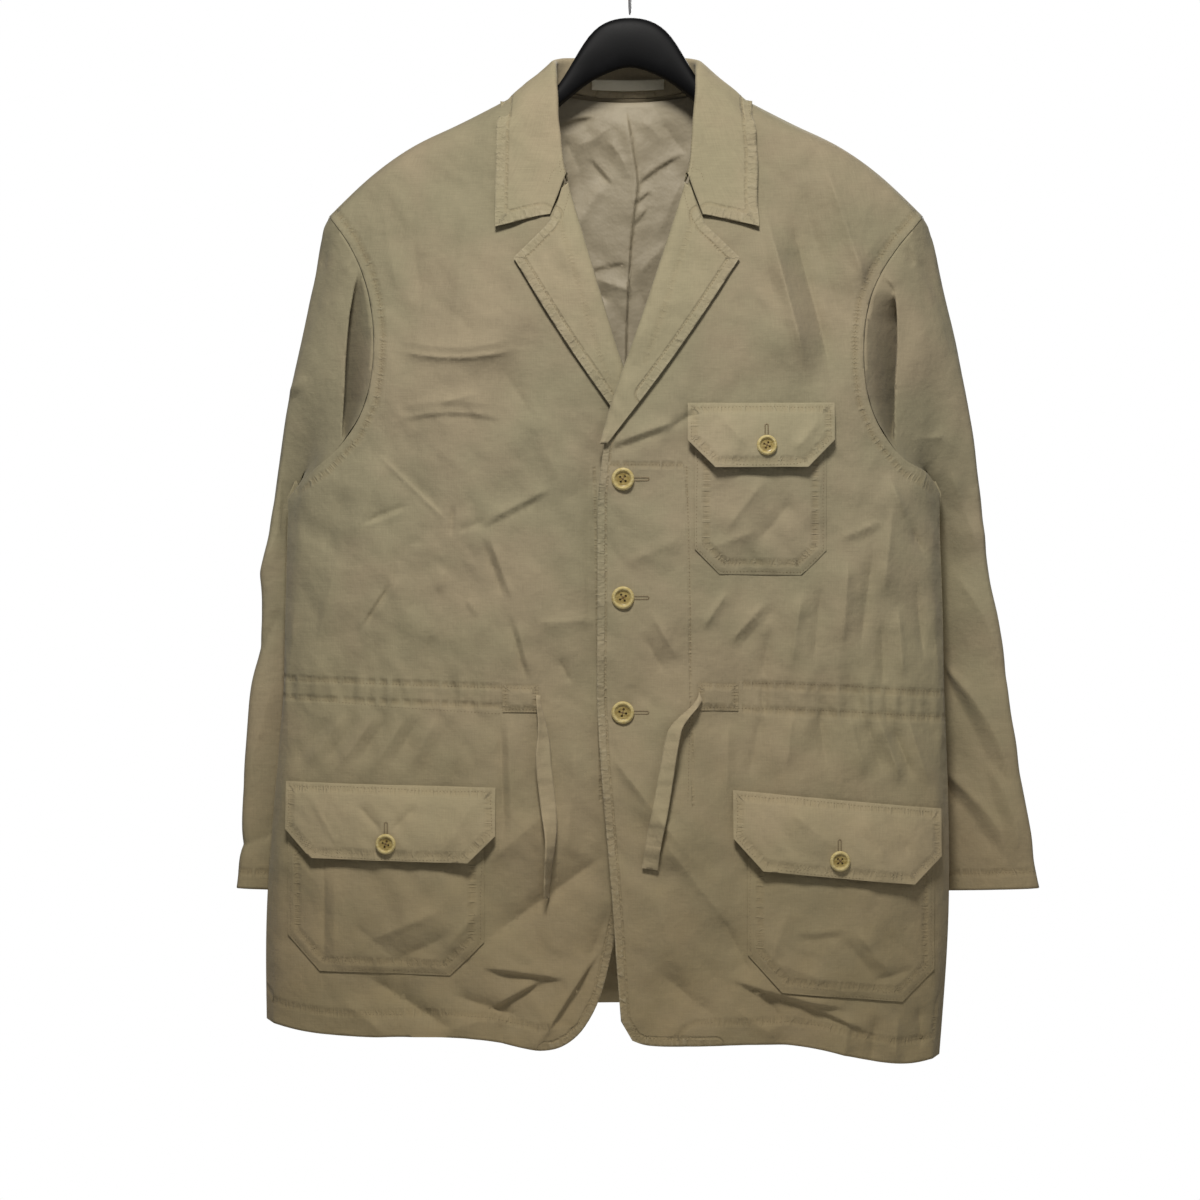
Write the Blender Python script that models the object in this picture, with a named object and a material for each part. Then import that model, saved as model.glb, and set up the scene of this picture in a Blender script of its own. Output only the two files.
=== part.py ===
"""A single-breasted cotton jacket with patch pockets and a drawn waist, hanging on a moulded hanger.

Metres, +Z up, the front faces -Y. The origin is where the hanger's hook rests on a rail.
Left and right are the wearer's, so the left front, which buttons over the right one, is at +X.
"""

import math
from functools import partial
from typing import NamedTuple

import bmesh
import bpy
import numpy as np
from mathutils import Vector

# Driving dimensions
CLOTH = 0.0015            # wall of shell cloth, two plies pressed together
LINING_CLOTH = 0.0010     # wall of the half lining
LOOP_CLOTH = 0.0010       # wall of the hanging loop's tape
SEAM = 0.0003             # pieces stand this far apart where they are sewn
NECK_HALF = 0.070         # centre line to the shoulder seam at the neck
NECK_Z = -0.134           # height of the shoulder seam at the neck
NECK_BACK_Z = -0.146      # height of the neck seam at the centre back
SHOULDER_HALF = 0.268     # centre line to the shoulder tip
SHOULDER_TIP_Z = -0.257
UNDERARM_Z = -0.512
CUFF_Z = -0.864
BACK_HEM_Z = -0.972
SIDE_Y = -0.008           # depth of the side seams, where front and back meet
ROUNDNESS_FRONT = 2.3     # exponent of the front half of a body ring
ROUNDNESS_BACK = 2.0
SHOULDER_THICK_FRONT = 0.021   # how far the shoulder stands forward of its ridge
SHOULDER_THICK_BACK = 0.024
NECK_THICK_BACK = 0.014        # extra fullness of the back below the neck
RIDGE_ROUND = 0.026            # drop over which the shoulder ridge rounds off
CHEST_REACH = 0.230            # drop over which the shoulder fills out to the chest
OVERLAP_LIFT = 0.0095          # the left front lies this far above the common surface
OVERLAP_SINK = 0.002           # and the right front this far below it
ROLL_Z = -0.232                # top of the lapel's roll line
BREAK_Z = -0.470               # foot of the roll line, at the top button
LAPEL_LIFT = 0.0044            # lapel's face above the front
ROLL_OUT = 0.0055              # the lapel's roll stands this far off the front's edge
CASING_HALF = 0.012            # half the casing's height
CASING_INNER = 0.106           # the gathers start here, at the casing tabs
GATHER_PITCH = 0.0160
GATHER_DEPTH = 0.0011
CORNER_RADIUS = {-1: 0.048, 1: 0.022}   # round lower corner of the right and the left front
BUTTON_OUT = -0.0035           # the front buttons' line, from the neck's centre line
FRONT_BUTTON_D = 0.020
POCKET_BUTTON_D = 0.018
BUTTON_STEPS = 12
TIE_WIDTH = 0.014
TIE_CLOTH = 0.0012             # wall of the folded tie
HANGER_X = 0.0035              # hook and hanger's middle, from the neck's centre line
HANGER_HALF = 0.222            # half the hanger's length
HOOK_WIRE = 0.0018             # radius of the hook's wire
HOOK_BEND = 0.020              # inner radius of the hook


class Level(NamedTuple):
    """One horizontal ring of the hanging body."""
    z: float
    right: float      # half width to the wearer's right
    left: float
    front: float      # depth in front of the side seams
    back: float


LEVELS = (
    Level(z=-0.120, right=0.2955, left=0.2845, front=0.050, back=0.046),
    Level(z=-0.300, right=0.2975, left=0.2825, front=0.054, back=0.051),
    Level(z=-0.500, right=0.3035, left=0.2805, front=0.058, back=0.052),
    Level(z=-0.600, right=0.3065, left=0.2845, front=0.057, back=0.050),
    Level(z=-0.690, right=0.3085, left=0.2865, front=0.053, back=0.046),
    Level(z=-0.770, right=0.3155, left=0.2895, front=0.058, back=0.050),
    Level(z=-0.880, right=0.3235, left=0.2905, front=0.062, back=0.053),
    Level(z=-1.030, right=0.3225, left=0.2805, front=0.064, back=0.054),
)


class Ridge(NamedTuple):
    """Top line of the shoulder, by distance from the centre line."""
    out: float
    z: float


RIDGE = (
    Ridge(out=0.000, z=-0.132),
    Ridge(out=0.040, z=-0.132),
    Ridge(out=NECK_HALF, z=NECK_Z),
    Ridge(out=0.110, z=-0.153),
    Ridge(out=0.142, z=-0.170),
    Ridge(out=0.198, z=-0.197),
    Ridge(out=0.234, z=-0.224),
    Ridge(out=0.258, z=-0.247),
    Ridge(out=SHOULDER_HALF, z=SHOULDER_TIP_Z),
    Ridge(out=0.300, z=-0.300),
)


class Armhole(NamedTuple):
    """Armhole seam as shares of the body's half width."""
    z: float
    front: float
    back: float


ARMHOLE = (
    Armhole(z=SHOULDER_TIP_Z, front=0.922, back=0.922),
    Armhole(z=-0.268, front=0.893, back=0.903),
    Armhole(z=-0.290, front=0.832, back=0.868),
    Armhole(z=-0.320, front=0.780, back=0.838),
    Armhole(z=-0.355, front=0.752, back=0.820),
    Armhole(z=-0.395, front=0.748, back=0.818),
    Armhole(z=-0.425, front=0.760, back=0.830),
    Armhole(z=-0.450, front=0.794, back=0.856),
    Armhole(z=-0.472, front=0.850, back=0.898),
    Armhole(z=-0.492, front=0.925, back=0.952),
    Armhole(z=UNDERARM_Z, front=1.000, back=1.000),
)


class Edge(NamedTuple):
    """Front edge: distance from the centre line towards the panel's own side."""
    z: float
    right: float
    left: float


FRONT_EDGE = (
    Edge(z=NECK_Z, right=NECK_HALF, left=NECK_HALF),
    Edge(z=-0.160, right=0.0700, left=0.0700),
    Edge(z=-0.199, right=0.0650, left=0.0650),
    Edge(z=-0.238, right=0.0531, left=0.0531),
    Edge(z=-0.350, right=0.0205, left=0.0170),
    Edge(z=BREAK_Z, right=-0.0145, left=-0.0215),
    Edge(z=-0.600, right=-0.0145, left=-0.0255),
    Edge(z=-0.710, right=-0.0145, left=-0.0255),
    Edge(z=-0.790, right=-0.0105, left=-0.0195),
    Edge(z=-0.870, right=0.0035, left=-0.0125),
    Edge(z=-0.945, right=0.0205, left=-0.0075),
    Edge(z=-1.030, right=0.0395, left=0.0005),
)


class Hem(NamedTuple):
    """Height of the front hem by distance from the centre line."""
    out: float
    right: float
    left: float


HEM = (
    Hem(out=-0.020, right=-0.999, left=-0.993),
    Hem(out=0.065, right=-1.000, left=-0.994),
    Hem(out=0.110, right=-0.991, left=-0.994),
    Hem(out=0.150, right=-0.987, left=-0.995),
    Hem(out=0.195, right=-0.988, left=-1.006),
    Hem(out=0.245, right=-0.989, left=-1.015),
    Hem(out=0.285, right=-0.986, left=-1.011),
    Hem(out=0.330, right=-0.978, left=-1.004),
)


class Fold(NamedTuple):
    """One large soft fold of a panel: its middle, run and height out of the cloth."""
    side: int         # -1 right front, +1 left front, 0 back
    out: float        # middle, from the centre line towards the panel's side
    z: float
    run: float        # half length along the fold
    width: float
    turn: float       # degrees, from straight out towards the side
    height: float


FOLDS = (
    Fold(side=-1, out=0.085, z=-0.845, run=0.080, width=0.020, turn=-38, height=0.007),
    Fold(side=-1, out=0.060, z=-0.925, run=0.060, width=0.022, turn=-20, height=-0.006),
    Fold(side=-1, out=0.185, z=-0.965, run=0.060, width=0.018, turn=35, height=0.006),
    Fold(side=-1, out=0.250, z=-0.560, run=0.090, width=0.022, turn=52, height=0.005),
    Fold(side=-1, out=0.215, z=-0.735, run=0.045, width=0.014, turn=-58, height=0.004),
    Fold(side=-1, out=0.265, z=-0.735, run=0.045, width=0.014, turn=-58, height=0.004),
    Fold(side=-1, out=0.130, z=-0.560, run=0.070, width=0.022, turn=-75, height=-0.004),
    Fold(side=1, out=0.040, z=-0.810, run=0.110, width=0.020, turn=52, height=0.007),
    Fold(side=1, out=0.110, z=-0.900, run=0.080, width=0.024, turn=60, height=-0.005),
    Fold(side=1, out=0.150, z=-0.962, run=0.055, width=0.016, turn=20, height=0.006),
    Fold(side=1, out=0.215, z=-0.985, run=0.040, width=0.020, turn=75, height=-0.005),
    Fold(side=1, out=0.230, z=-0.560, run=0.080, width=0.016, turn=80, height=0.004),
    Fold(side=1, out=0.160, z=-0.640, run=0.040, width=0.014, turn=-75, height=0.004),
    Fold(side=1, out=0.215, z=-0.740, run=0.040, width=0.014, turn=62, height=0.004),
    Fold(side=0, out=-0.110, z=-0.420, run=0.120, width=0.030, turn=62, height=-0.006),
    Fold(side=0, out=0.110, z=-0.420, run=0.120, width=0.030, turn=-62, height=-0.006),
    Fold(side=0, out=-0.080, z=-0.860, run=0.120, width=0.026, turn=84, height=0.006),
    Fold(side=0, out=0.090, z=-0.880, run=0.110, width=0.028, turn=-82, height=0.006),
    Fold(side=0, out=0.010, z=-0.900, run=0.090, width=0.030, turn=88, height=-0.006),
)


# Curves and soft steps
def through(keys, values):
    """A smooth curve through a table's rows, as a function of its key column."""
    keys, values = np.asarray(keys, float), np.asarray(values, float)
    order = np.argsort(keys)
    keys, values = keys[order], values[order]
    slopes = np.gradient(values, keys, axis=0)

    def at(query):
        query = np.clip(np.asarray(query, float), keys[0], keys[-1])
        i = np.clip(np.searchsorted(keys, query) - 1, 0, len(keys) - 2)
        gap = keys[i + 1] - keys[i]
        t = (query - keys[i]) / gap
        if values.ndim > 1:
            t, gap = t[..., None], gap[..., None]
        first, last = values[i], values[i + 1]
        return (first * (2 * t**3 - 3 * t**2 + 1) + last * (3 * t**2 - 2 * t**3)
                + gap * (slopes[i] * (t**3 - 2 * t**2 + t) + slopes[i + 1] * (t**3 - t**2)))

    return at


def column(table, key, name):
    return through([getattr(row, key) for row in table], [getattr(row, name) for row in table])


def ease(share):
    share = np.clip(share, 0.0, 1.0)
    return share * share * (3 - 2 * share)


def spread(u):
    """Stations across a panel, closer together at both edges."""
    return u - 0.55 * np.sin(2 * np.pi * u) / (2 * np.pi)


def unit(vectors):
    return vectors / np.maximum(np.linalg.norm(vectors, axis=-1, keepdims=True), 1e-12)


ridge_z = column(RIDGE, "out", "z")
front_depth, back_depth = column(LEVELS, "z", "front"), column(LEVELS, "z", "back")
armhole_front, armhole_back = column(ARMHOLE, "z", "front"), column(ARMHOLE, "z", "back")
SIDE_NAME = {-1: "right", 1: "left"}
half_width = {s: column(LEVELS, "z", n) for s, n in SIDE_NAME.items()}
front_edge = {s: column(FRONT_EDGE, "z", n) for s, n in SIDE_NAME.items()}
hem_line = {s: column(HEM, "out", n) for s, n in SIDE_NAME.items()}


# The hanging body's surface
def waist_z(side, out):
    """Height of the middle of the drawstring casing, which hangs a little askew."""
    level, fall = {-1: (-0.694, -0.040), 0: (-0.688, 0.0), 1: (-0.679, 0.065)}[side]
    return level - fall * np.abs(out)


def armhole_out(side, shares, z):
    """Distance of the armhole seam from the centre line, the side seam below the underarm."""
    half = half_width[side](z)
    at_tip = SHOULDER_HALF - half_width[side](SHOULDER_TIP_Z) * shares(SHOULDER_TIP_Z)
    seam = half * shares(z) + at_tip * ease((z + 0.340) / (SHOULDER_TIP_Z + 0.340))
    return np.where(z > SHOULDER_TIP_Z, SHOULDER_HALF, np.where(z > UNDERARM_Z, seam, half))


def kept_flat(side, out, z):
    """One where a pocket, flap, tab, lapel or button holds the cloth flat, falling to nothing around it."""
    held = np.zeros(np.broadcast(out, z).shape)
    if side == 0:
        return held
    fade = 0.030
    for patch in (*POCKETS.values(), *FLAPS.values(), *TABS.values()):
        if patch.side != side:
            continue
        fall = patch.slope * (out - patch.near)
        beside = np.maximum(np.maximum(patch.near - out, out - patch.far), 0)
        above = np.maximum(np.maximum(z + fall - patch.top, patch.bottom - z - fall), 0)
        held = np.maximum(held, ease(1.3 - np.hypot(beside, above) / fade))
    return np.maximum(held, ease(1.3 - (out - BUTTON_OUT) / fade) * ease((z + 0.760) / 0.040))


def fold_height(side, out, z):
    """How far the large folds and the waist gathers raise the cloth."""
    height = np.zeros(np.broadcast(out, z).shape)
    for fold in FOLDS:
        if fold.side != side:
            continue
        turn = math.radians(fold.turn)
        right, up = out - fold.out, z - fold.z
        along = right * math.cos(turn) + up * math.sin(turn)
        across = up * math.cos(turn) - right * math.sin(turn)
        profile = np.exp(-(across / fold.width) ** 2)
        height += fold.height * profile * ease(1.6 - 1.6 * np.abs(along) / fold.run)
    height = height * (1 - kept_flat(side, out, z))
    drawn = np.exp(-((z - waist_z(side, out)) / CASING_HALF) ** 4)
    drawn = drawn * ease((np.abs(out) - CASING_INNER) / 0.006)
    uneven = 0.7 * np.sin(np.abs(out) * 83.0) + 0.5 * np.sin(np.abs(out) * 141.0)
    gathers = np.cos(2 * np.pi * np.abs(out) / GATHER_PITCH + uneven)
    return height + GATHER_DEPTH * gathers * drawn


def filled_out(full, thick, drop):
    """Depth of the cloth below the shoulder ridge: a quick round, then a slow swell to the chest."""
    quick = np.minimum(thick, full)
    rounded = np.sqrt(1 - (1 - np.clip(drop / RIDGE_ROUND, 0, 1)) ** 2)
    return quick * rounded + (full - quick) * ease(drop / CHEST_REACH)


def front_y(side, out, z):
    """Depth of a front's outer face at a distance out from the centre line."""
    share = np.clip(np.abs(out) / half_width[side](z), 0, 1)
    full = -SIDE_Y + front_depth(z) * (1 - share**ROUNDNESS_FRONT) ** (1 / ROUNDNESS_FRONT)
    y = -SEAM / 2 - filled_out(full, SHOULDER_THICK_FRONT, ridge_z(np.abs(out)) - z)
    lapped = ease((0.110 - out) / 0.075) * ease((-0.300 - z) / 0.140)
    y = y - lapped * (OVERLAP_LIFT if side > 0 else -OVERLAP_SINK)
    return y - fold_height(side, out, z) * ease((1 - share) / 0.10)


def back_y(x, z):
    """Depth of the back's outer face."""
    half = np.where(x < 0, half_width[-1](z), half_width[1](z))
    share = np.clip(np.abs(x) / half, 0, 1)
    full = SIDE_Y + back_depth(z) * (1 - share**ROUNDNESS_BACK) ** (1 / ROUNDNESS_BACK)
    thick = SHOULDER_THICK_BACK + NECK_THICK_BACK * np.exp(-(x / 0.075) ** 2)
    y = np.where(full > 0, filled_out(np.maximum(full, 0), thick, ridge_z(np.abs(x)) - z), full)
    return y + SEAM / 2 + fold_height(0, x, z) * ease((1 - share) / 0.25)


def heights(v, counts, marks):
    """Heights down a panel: rows shared out between its marks, the first where the shoulder rounds off."""
    rows = sum(counts)
    z = np.broadcast_to(marks[-1], np.broadcast(v, marks[-1]).shape).copy()
    begun = 0
    for count, high, low in zip(counts, marks, marks[1:]):
        t = np.clip((v * rows - begun) / count, 0, 1)
        if begun == 0:
            t = 1 - np.cos(t * np.pi / 2)
        here = (v * rows >= begun - 1e-9) & (v * rows < begun + count)
        z = np.where(here, high + (low - high) * t, z)
        begun += count
    return z


# Rows of a panel: shoulder round, armhole, side to the casing, casing, skirt
FRONT_ROWS = (3, 8, 3, 2, 7)
BACK_ROWS = (3, 7, 3, 2, 5)
CASING_REACH = 0.016           # rows this far above and below the casing's middle


def front_surface(side):
    """The outer face of one front: u from the front edge to the side, v from shoulder to hem."""
    def at(u, v):
        share = spread(u)
        top_out = NECK_HALF + (SHOULDER_HALF - NECK_HALF) * share
        for _ in range(6):
            neck = front_edge[side](ridge_z(top_out))
            top_out = neck + (SHOULDER_HALF - neck) * share
        corner_edge = front_edge[side](-0.950)
        hem_out = corner_edge + (half_width[side](-1.0) - corner_edge) * share
        in_corner = np.clip(1 - (hem_out - corner_edge) / CORNER_RADIUS[side], 0, 1)
        corner = CORNER_RADIUS[side] * (1 - np.sqrt(1 - in_corner**2))
        top, waist = ridge_z(top_out), waist_z(side, hem_out)
        marks = (top, top - RIDGE_ROUND, UNDERARM_Z + 0 * share, waist + CASING_REACH, waist - CASING_REACH,
                 hem_line[side](hem_out) + corner)
        z = heights(v, FRONT_ROWS, marks)
        inner = front_edge[side](z)
        out = inner + (armhole_out(side, armhole_front, z) - inner) * share
        return np.stack([side * out, front_y(side, out, z), z], axis=-1)

    return at


def back_surface(u, v):
    """The outer face of the back: u from the right side to the left, v from the top to the hem."""
    side_share = 2 * spread(u) - 1
    reach = np.abs(side_share)
    side = np.where(side_share < 0, -1.0, 1.0)
    top_out = SHOULDER_HALF * reach
    neck_z = NECK_BACK_Z + (NECK_Z - NECK_BACK_Z) * np.clip(top_out / NECK_HALF, 0, 1) ** 3
    top = np.where(top_out < NECK_HALF, neck_z, ridge_z(top_out))
    level = 0 * reach
    side_hem = np.where(side < 0, *(hem_line[s](half_width[s](BACK_HEM_Z)) for s in SIDE_NAME))
    hem = BACK_HEM_Z + (side_hem - BACK_HEM_Z) * ease(reach) ** 1.5
    marks = (top, top - RIDGE_ROUND, UNDERARM_Z + level, waist_z(0, level) + CASING_REACH,
             waist_z(0, level) - CASING_REACH, hem)
    z = heights(v, BACK_ROWS, marks)
    outer = np.where(side < 0, armhole_out(-1, armhole_back, z), armhole_out(1, armhole_back, z))
    x = side * outer * reach
    return np.stack([x, back_y(x, z), z], axis=-1)


# Cloth walls from surfaces
def surface_normals(surface, u, v, outward):
    """Unit normals by short steps along the surface, on the outward side."""
    step = 1e-4
    across = surface(np.minimum(u + step, 1), v) - surface(np.maximum(u - step, 0), v)
    down = surface(u, np.minimum(v + step, 1)) - surface(u, np.maximum(v - step, 0))
    return outward * unit(np.cross(across, down))


class Look(NamedTuple):
    colour: tuple
    roughness: float
    metallic: float = 0.0


KHAKI = Look((0.34, 0.29, 0.19), 0.85)
LINING_LOOK = Look((0.36, 0.30, 0.21), 0.55)
TAPE_LOOK = Look((0.55, 0.47, 0.33), 0.60)
BUTTON_LOOK = Look((0.62, 0.50, 0.24), 0.40)
HANGER_LOOK = Look((0.012, 0.012, 0.014), 0.50)
HOOK_LOOK = Look((0.60, 0.60, 0.62), 0.25, 1.0)


def add_object(name, data, look):
    """A named piece of the garment with its own material."""
    finish = bpy.data.materials.new(name)
    finish.use_nodes = True
    shader = finish.node_tree.nodes["Principled BSDF"]
    shader.inputs["Base Color"].default_value = (*look.colour, 1.0)
    shader.inputs["Roughness"].default_value = look.roughness
    shader.inputs["Metallic"].default_value = look.metallic
    finish.diffuse_color = (*look.colour, 1.0)
    data.materials.append(finish)
    made = bpy.data.objects.new(name, data)
    parts.objects.link(made)
    made.parent = garment
    return made


def finish_mesh(bm, name, look):
    bmesh.ops.recalc_face_normals(bm, faces=bm.faces[:])
    mesh = bpy.data.meshes.new(name)
    bm.to_mesh(mesh)
    bm.free()
    mesh.shade_smooth()
    mesh.set_sharp_from_angle(angle=math.radians(40))
    return add_object(name, mesh, look)


def cloth(name, surface, columns, rows, look=KHAKI, wall=CLOTH, outward=1.0, tube=False, normals=None,
          fine=None):
    """A wall of cloth on a surface: a grid laid on its outer face, thickened inwards.

    fine, if given, is (first u, last u, first v, last v, cuts): that part of the grid is cut finer across.
    """
    bm = bmesh.new()
    bmesh.ops.create_grid(bm, x_segments=columns, y_segments=rows, size=0.5)
    if fine:
        first_u, last_u, first_v, last_v, cuts = fine

        def inside(edge):
            (a, b) = edge.verts
            middle = (a.co + b.co) / 2
            in_band = first_u < middle.x + 0.5 < last_u and first_v - 1e-4 < middle.y + 0.5 < last_v + 1e-4
            return in_band and abs(a.co.y - b.co.y) < 1e-6

        bmesh.ops.subdivide_edges(bm, edges=[e for e in bm.edges if inside(e)], cuts=cuts, use_grid_fill=True)
    if tube:
        first = {round(p.co.y, 5): p for p in bm.verts if p.co.x < -0.4999}
        last = {p: first[round(p.co.y, 5)] for p in bm.verts if p.co.x > 0.4999}
        bmesh.ops.weld_verts(bm, targetmap=last)
    bmesh.ops.triangulate(bm, faces=bm.faces[:])
    mark = bm.verts.layers.int.new("station")
    for i, p in enumerate(bm.verts):
        p[mark] = i
    u = np.array([p.co.x + 0.5 for p in bm.verts])
    v = np.array([p.co.y + 0.5 for p in bm.verts])
    outer = surface(u, v)
    out = normals(u, v) if normals else surface_normals(surface, u, v, outward)
    inner = outer - wall * out
    grown = bmesh.ops.extrude_face_region(bm, geom=bm.faces[:])["geom"]
    inside_verts = {p for p in grown if isinstance(p, bmesh.types.BMVert)}
    for p in bm.verts:
        p.co = Vector((inner if p in inside_verts else outer)[p[mark]])
    return finish_mesh(bm, name, look)


# Lapels and collar
def lapel_surface(side):
    """A lapel: u from the facing inside, round the roll and out to its edge, v from gorge to break."""
    notch, peak = (0.0655, -0.267), (0.100, -0.300)
    facing, turn_share = 0.014, 0.30
    foot_width = 0.0035

    def at(u, v):
        roll_z = ROLL_Z + (BREAK_Z + 0.004 - ROLL_Z) * v
        roll = front_edge[side](roll_z)
        wide = np.clip((u - turn_share) / (1 - turn_share), 0, 1)
        # The top edge runs from the roll down the gorge to the notch, then out to the peak.
        bend = 0.34
        gorge = np.clip(wide / bend, 0, 1)
        free = np.clip((wide - bend) / (1 - bend), 0, 1)
        top_out = front_edge[side](ROLL_Z) * (1 - gorge) + notch[0] * gorge + (peak[0] - notch[0]) * free
        top_z = ROLL_Z + (notch[1] - ROLL_Z) * gorge + (peak[1] - notch[1]) * free
        foot_out = front_edge[side](BREAK_Z + 0.004) + foot_width * wide
        foot_z = BREAK_Z + 0.004 + 0.0 * wide
        edge_bow = 0.004 * np.sin(np.pi * v) * wide
        out = top_out * (1 - v) + foot_out * v + edge_bow
        z = top_z * (1 - v) + foot_z * v
        # Before the turn the cloth runs as a facing behind the front.
        back = np.clip(u / turn_share, 0, 1)
        swing = np.clip((back - 0.4) / 0.6, 0, 1) * np.pi
        inside = facing * (1 - np.clip(back / 0.4, 0, 1))
        hook_out = roll + np.where(back < 0.4, inside + 0.001, 0.001 - ROLL_OUT * np.sin(swing))
        hook_lift = np.where(back < 0.4, -LAPEL_LIFT - 0.0006, -(LAPEL_LIFT + 0.0006) * np.cos(swing))
        turning = u < turn_share
        shift = 0.001 * (1 - wide)
        out = np.where(turning, hook_out, out + shift)
        z = np.where(turning, roll_z, z)
        lift = np.where(turning, hook_lift, LAPEL_LIFT + 0.0006 - 0.0008 * wide)
        return np.stack([side * out, front_y(side, out, z) - lift, z], axis=-1)

    return at


class Collar(NamedTuple):
    """One station of the collar's left half, from the centre back to the gorge."""
    turn: float
    neck: tuple       # seam to the body
    roll: tuple       # top of the fold
    middle: tuple     # half way down the fall
    edge: tuple       # free edge of the fall
    bend: float       # radius of the fold


COLLAR = (
    Collar(0.00, neck=(0.000, 0.0302, -0.1458), roll=(0.000, 0.0365, -0.1060),
           middle=(0.000, 0.0475, -0.1380), edge=(0.000, 0.0530, -0.1720), bend=0.0045),
    Collar(0.18, neck=(0.036, 0.0262, -0.1435), roll=(0.034, 0.0315, -0.1070),
           middle=(0.042, 0.0440, -0.1390), edge=(0.051, 0.0500, -0.1740), bend=0.0045),
    Collar(0.34, neck=(0.0605, 0.0145, -0.1380), roll=(0.0590, 0.0160, -0.1110),
           middle=(0.078, 0.0270, -0.1380), edge=(0.094, 0.0350, -0.1640), bend=0.0042),
    Collar(0.41, neck=(0.0662, 0.0075, -0.1343), roll=(0.0630, 0.0075, -0.1145),
           middle=(0.085, 0.0140, -0.1340), edge=(0.1065, 0.0215, -0.1535), bend=0.0040),
    Collar(0.48, neck=(0.0676, -0.0030, -0.1336), roll=(0.0640, -0.0030, -0.1170),
           middle=(0.088, -0.0030, -0.1320), edge=(0.1135, -0.0030, -0.1485), bend=0.0038),
    Collar(0.54, neck=(0.0677, -0.0122, -0.1380), roll=(0.0635, -0.0130, -0.1230),
           middle=(0.089, -0.0160, -0.1400), edge=(0.1150, -0.0185, -0.1590), bend=0.0036),
    Collar(0.62, neck=(0.0678, -0.0186, -0.1505), roll=(0.0615, -0.0235, -0.1390),
           middle=(0.088, -0.0270, -0.1590), edge=(0.1155, -0.0290, -0.1800), bend=0.0032),
    Collar(0.76, neck=(0.0656, -0.0242, -0.1792), roll=(0.0598, -0.0310, -0.1710),
           middle=(0.088, -0.0305, -0.1870), edge=(0.1165, -0.0310, -0.2060), bend=0.0030),
    Collar(0.90, neck=(0.0591, -0.0296, -0.2132), roll=(0.0570, -0.0372, -0.2055),
           middle=(0.082, -0.0385, -0.2260), edge=(0.1170, -0.0385, -0.2420), bend=0.0028),
    Collar(1.00, neck=(0.0532, -0.0342, -0.2302), roll=(0.0545, -0.0405, -0.2225),
           middle=(0.0690, -0.0490, -0.2605), edge=(0.1170, -0.0455, -0.2715), bend=0.0027),
)
STAND_ROWS, BEND_ROWS, FALL_ROWS = 2, 4, 4


def collar_surface(u, v):
    """The collar: u from the right gorge round to the left one, v from the neck seam over to the edge."""
    turn = np.abs(2 * u - 1)
    turns = [row.turn for row in COLLAR]
    neck, roll, middle, edge, bend = (through(turns, [getattr(row, n) for row in COLLAR])(turn)
                                      for n in Collar._fields[1:])
    bend = bend[..., None]
    crown = unit(roll - 0.5 * (neck + middle))
    over = middle - neck
    over = unit(over - crown * np.sum(over * crown, axis=-1, keepdims=True))
    centre = roll - crown * bend
    row = (v * (STAND_ROWS + BEND_ROWS + FALL_ROWS))[..., None]
    up = np.clip(row / STAND_ROWS, 0, 1)
    angle = np.pi * np.clip((row - STAND_ROWS) / BEND_ROWS, 0, 1)
    arc = centre + bend * (crown * np.sin(angle) - over * np.cos(angle))
    down = np.clip((row - STAND_ROWS - BEND_ROWS) / FALL_ROWS, 0, 1)
    start = centre + bend * over
    upper, lower = start + (middle - start) * 2 * down, middle + (edge - middle) * (2 * down - 1)
    fall = np.where(down < 0.5, upper, lower)
    place = np.where(row < STAND_ROWS, neck + (centre - bend * over - neck) * up,
                     np.where(row < STAND_ROWS + BEND_ROWS, arc, fall))
    place[..., 0] *= np.where(u < 0.5, -1.0, 1.0)
    return place


# Sleeves
class SleeveRing(NamedTuple):
    """One ring of the hanging sleeves, by share of their length: its two ends and its thickness."""
    along: float
    z: float
    right: float      # outer end, from the centre line
    left: float
    y: float
    inner_z: float
    inner_right: float
    inner_left: float
    inner_y: float
    front: float      # its front stands this far forward of the line between the ends
    front_in: float   # and this far in towards the body, or out if less than nothing
    back: float       # its back likewise
    back_in: float


SLEEVE = (
    SleeveRing(0.13, -0.305, 0.2835, 0.2865, 0.004,
               inner_z=-0.500, inner_right=0.3080, inner_left=0.2840, inner_y=0.002,
               front=0.0415, front_in=0.041, back=0.034, back_in=0.030),
    SleeveRing(0.20, -0.350, 0.2920, 0.2955, 0.007,
               inner_z=-0.522, inner_right=0.3020, inner_left=0.2780, inner_y=0.015,
               front=0.0360, front_in=0.016, back=0.036, back_in=0.018),
    SleeveRing(0.28, -0.400, 0.3010, 0.3050, 0.010,
               inner_z=-0.556, inner_right=0.2930, inner_left=0.2700, inner_y=0.032,
               front=0.0300, front_in=-0.016, back=0.034, back_in=-0.004),
    SleeveRing(0.40, -0.475, 0.3140, 0.3175, 0.012,
               inner_z=-0.612, inner_right=0.2760, inner_left=0.2620, inner_y=0.048,
               front=0.0220, front_in=-0.022, back=0.030, back_in=-0.006),
    SleeveRing(0.57, -0.580, 0.3275, 0.3310, 0.015,
               inner_z=-0.676, inner_right=0.2380, inner_left=0.2450, inner_y=0.065,
               front=0.0220, front_in=0.000, back=0.026, back_in=0.000),
    SleeveRing(0.78, -0.715, 0.3430, 0.3510, 0.016,
               inner_z=-0.762, inner_right=0.2160, inner_left=0.2360, inner_y=0.072,
               front=0.0220, front_in=0.000, back=0.024, back_in=0.000),
    SleeveRing(1.00, CUFF_Z, 0.3535, 0.3750, 0.016,
               inner_z=-0.872, inner_right=0.2085, inner_left=0.2300, inner_y=0.074,
               front=0.0220, front_in=0.000, back=0.022, back_in=0.000),
)
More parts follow.
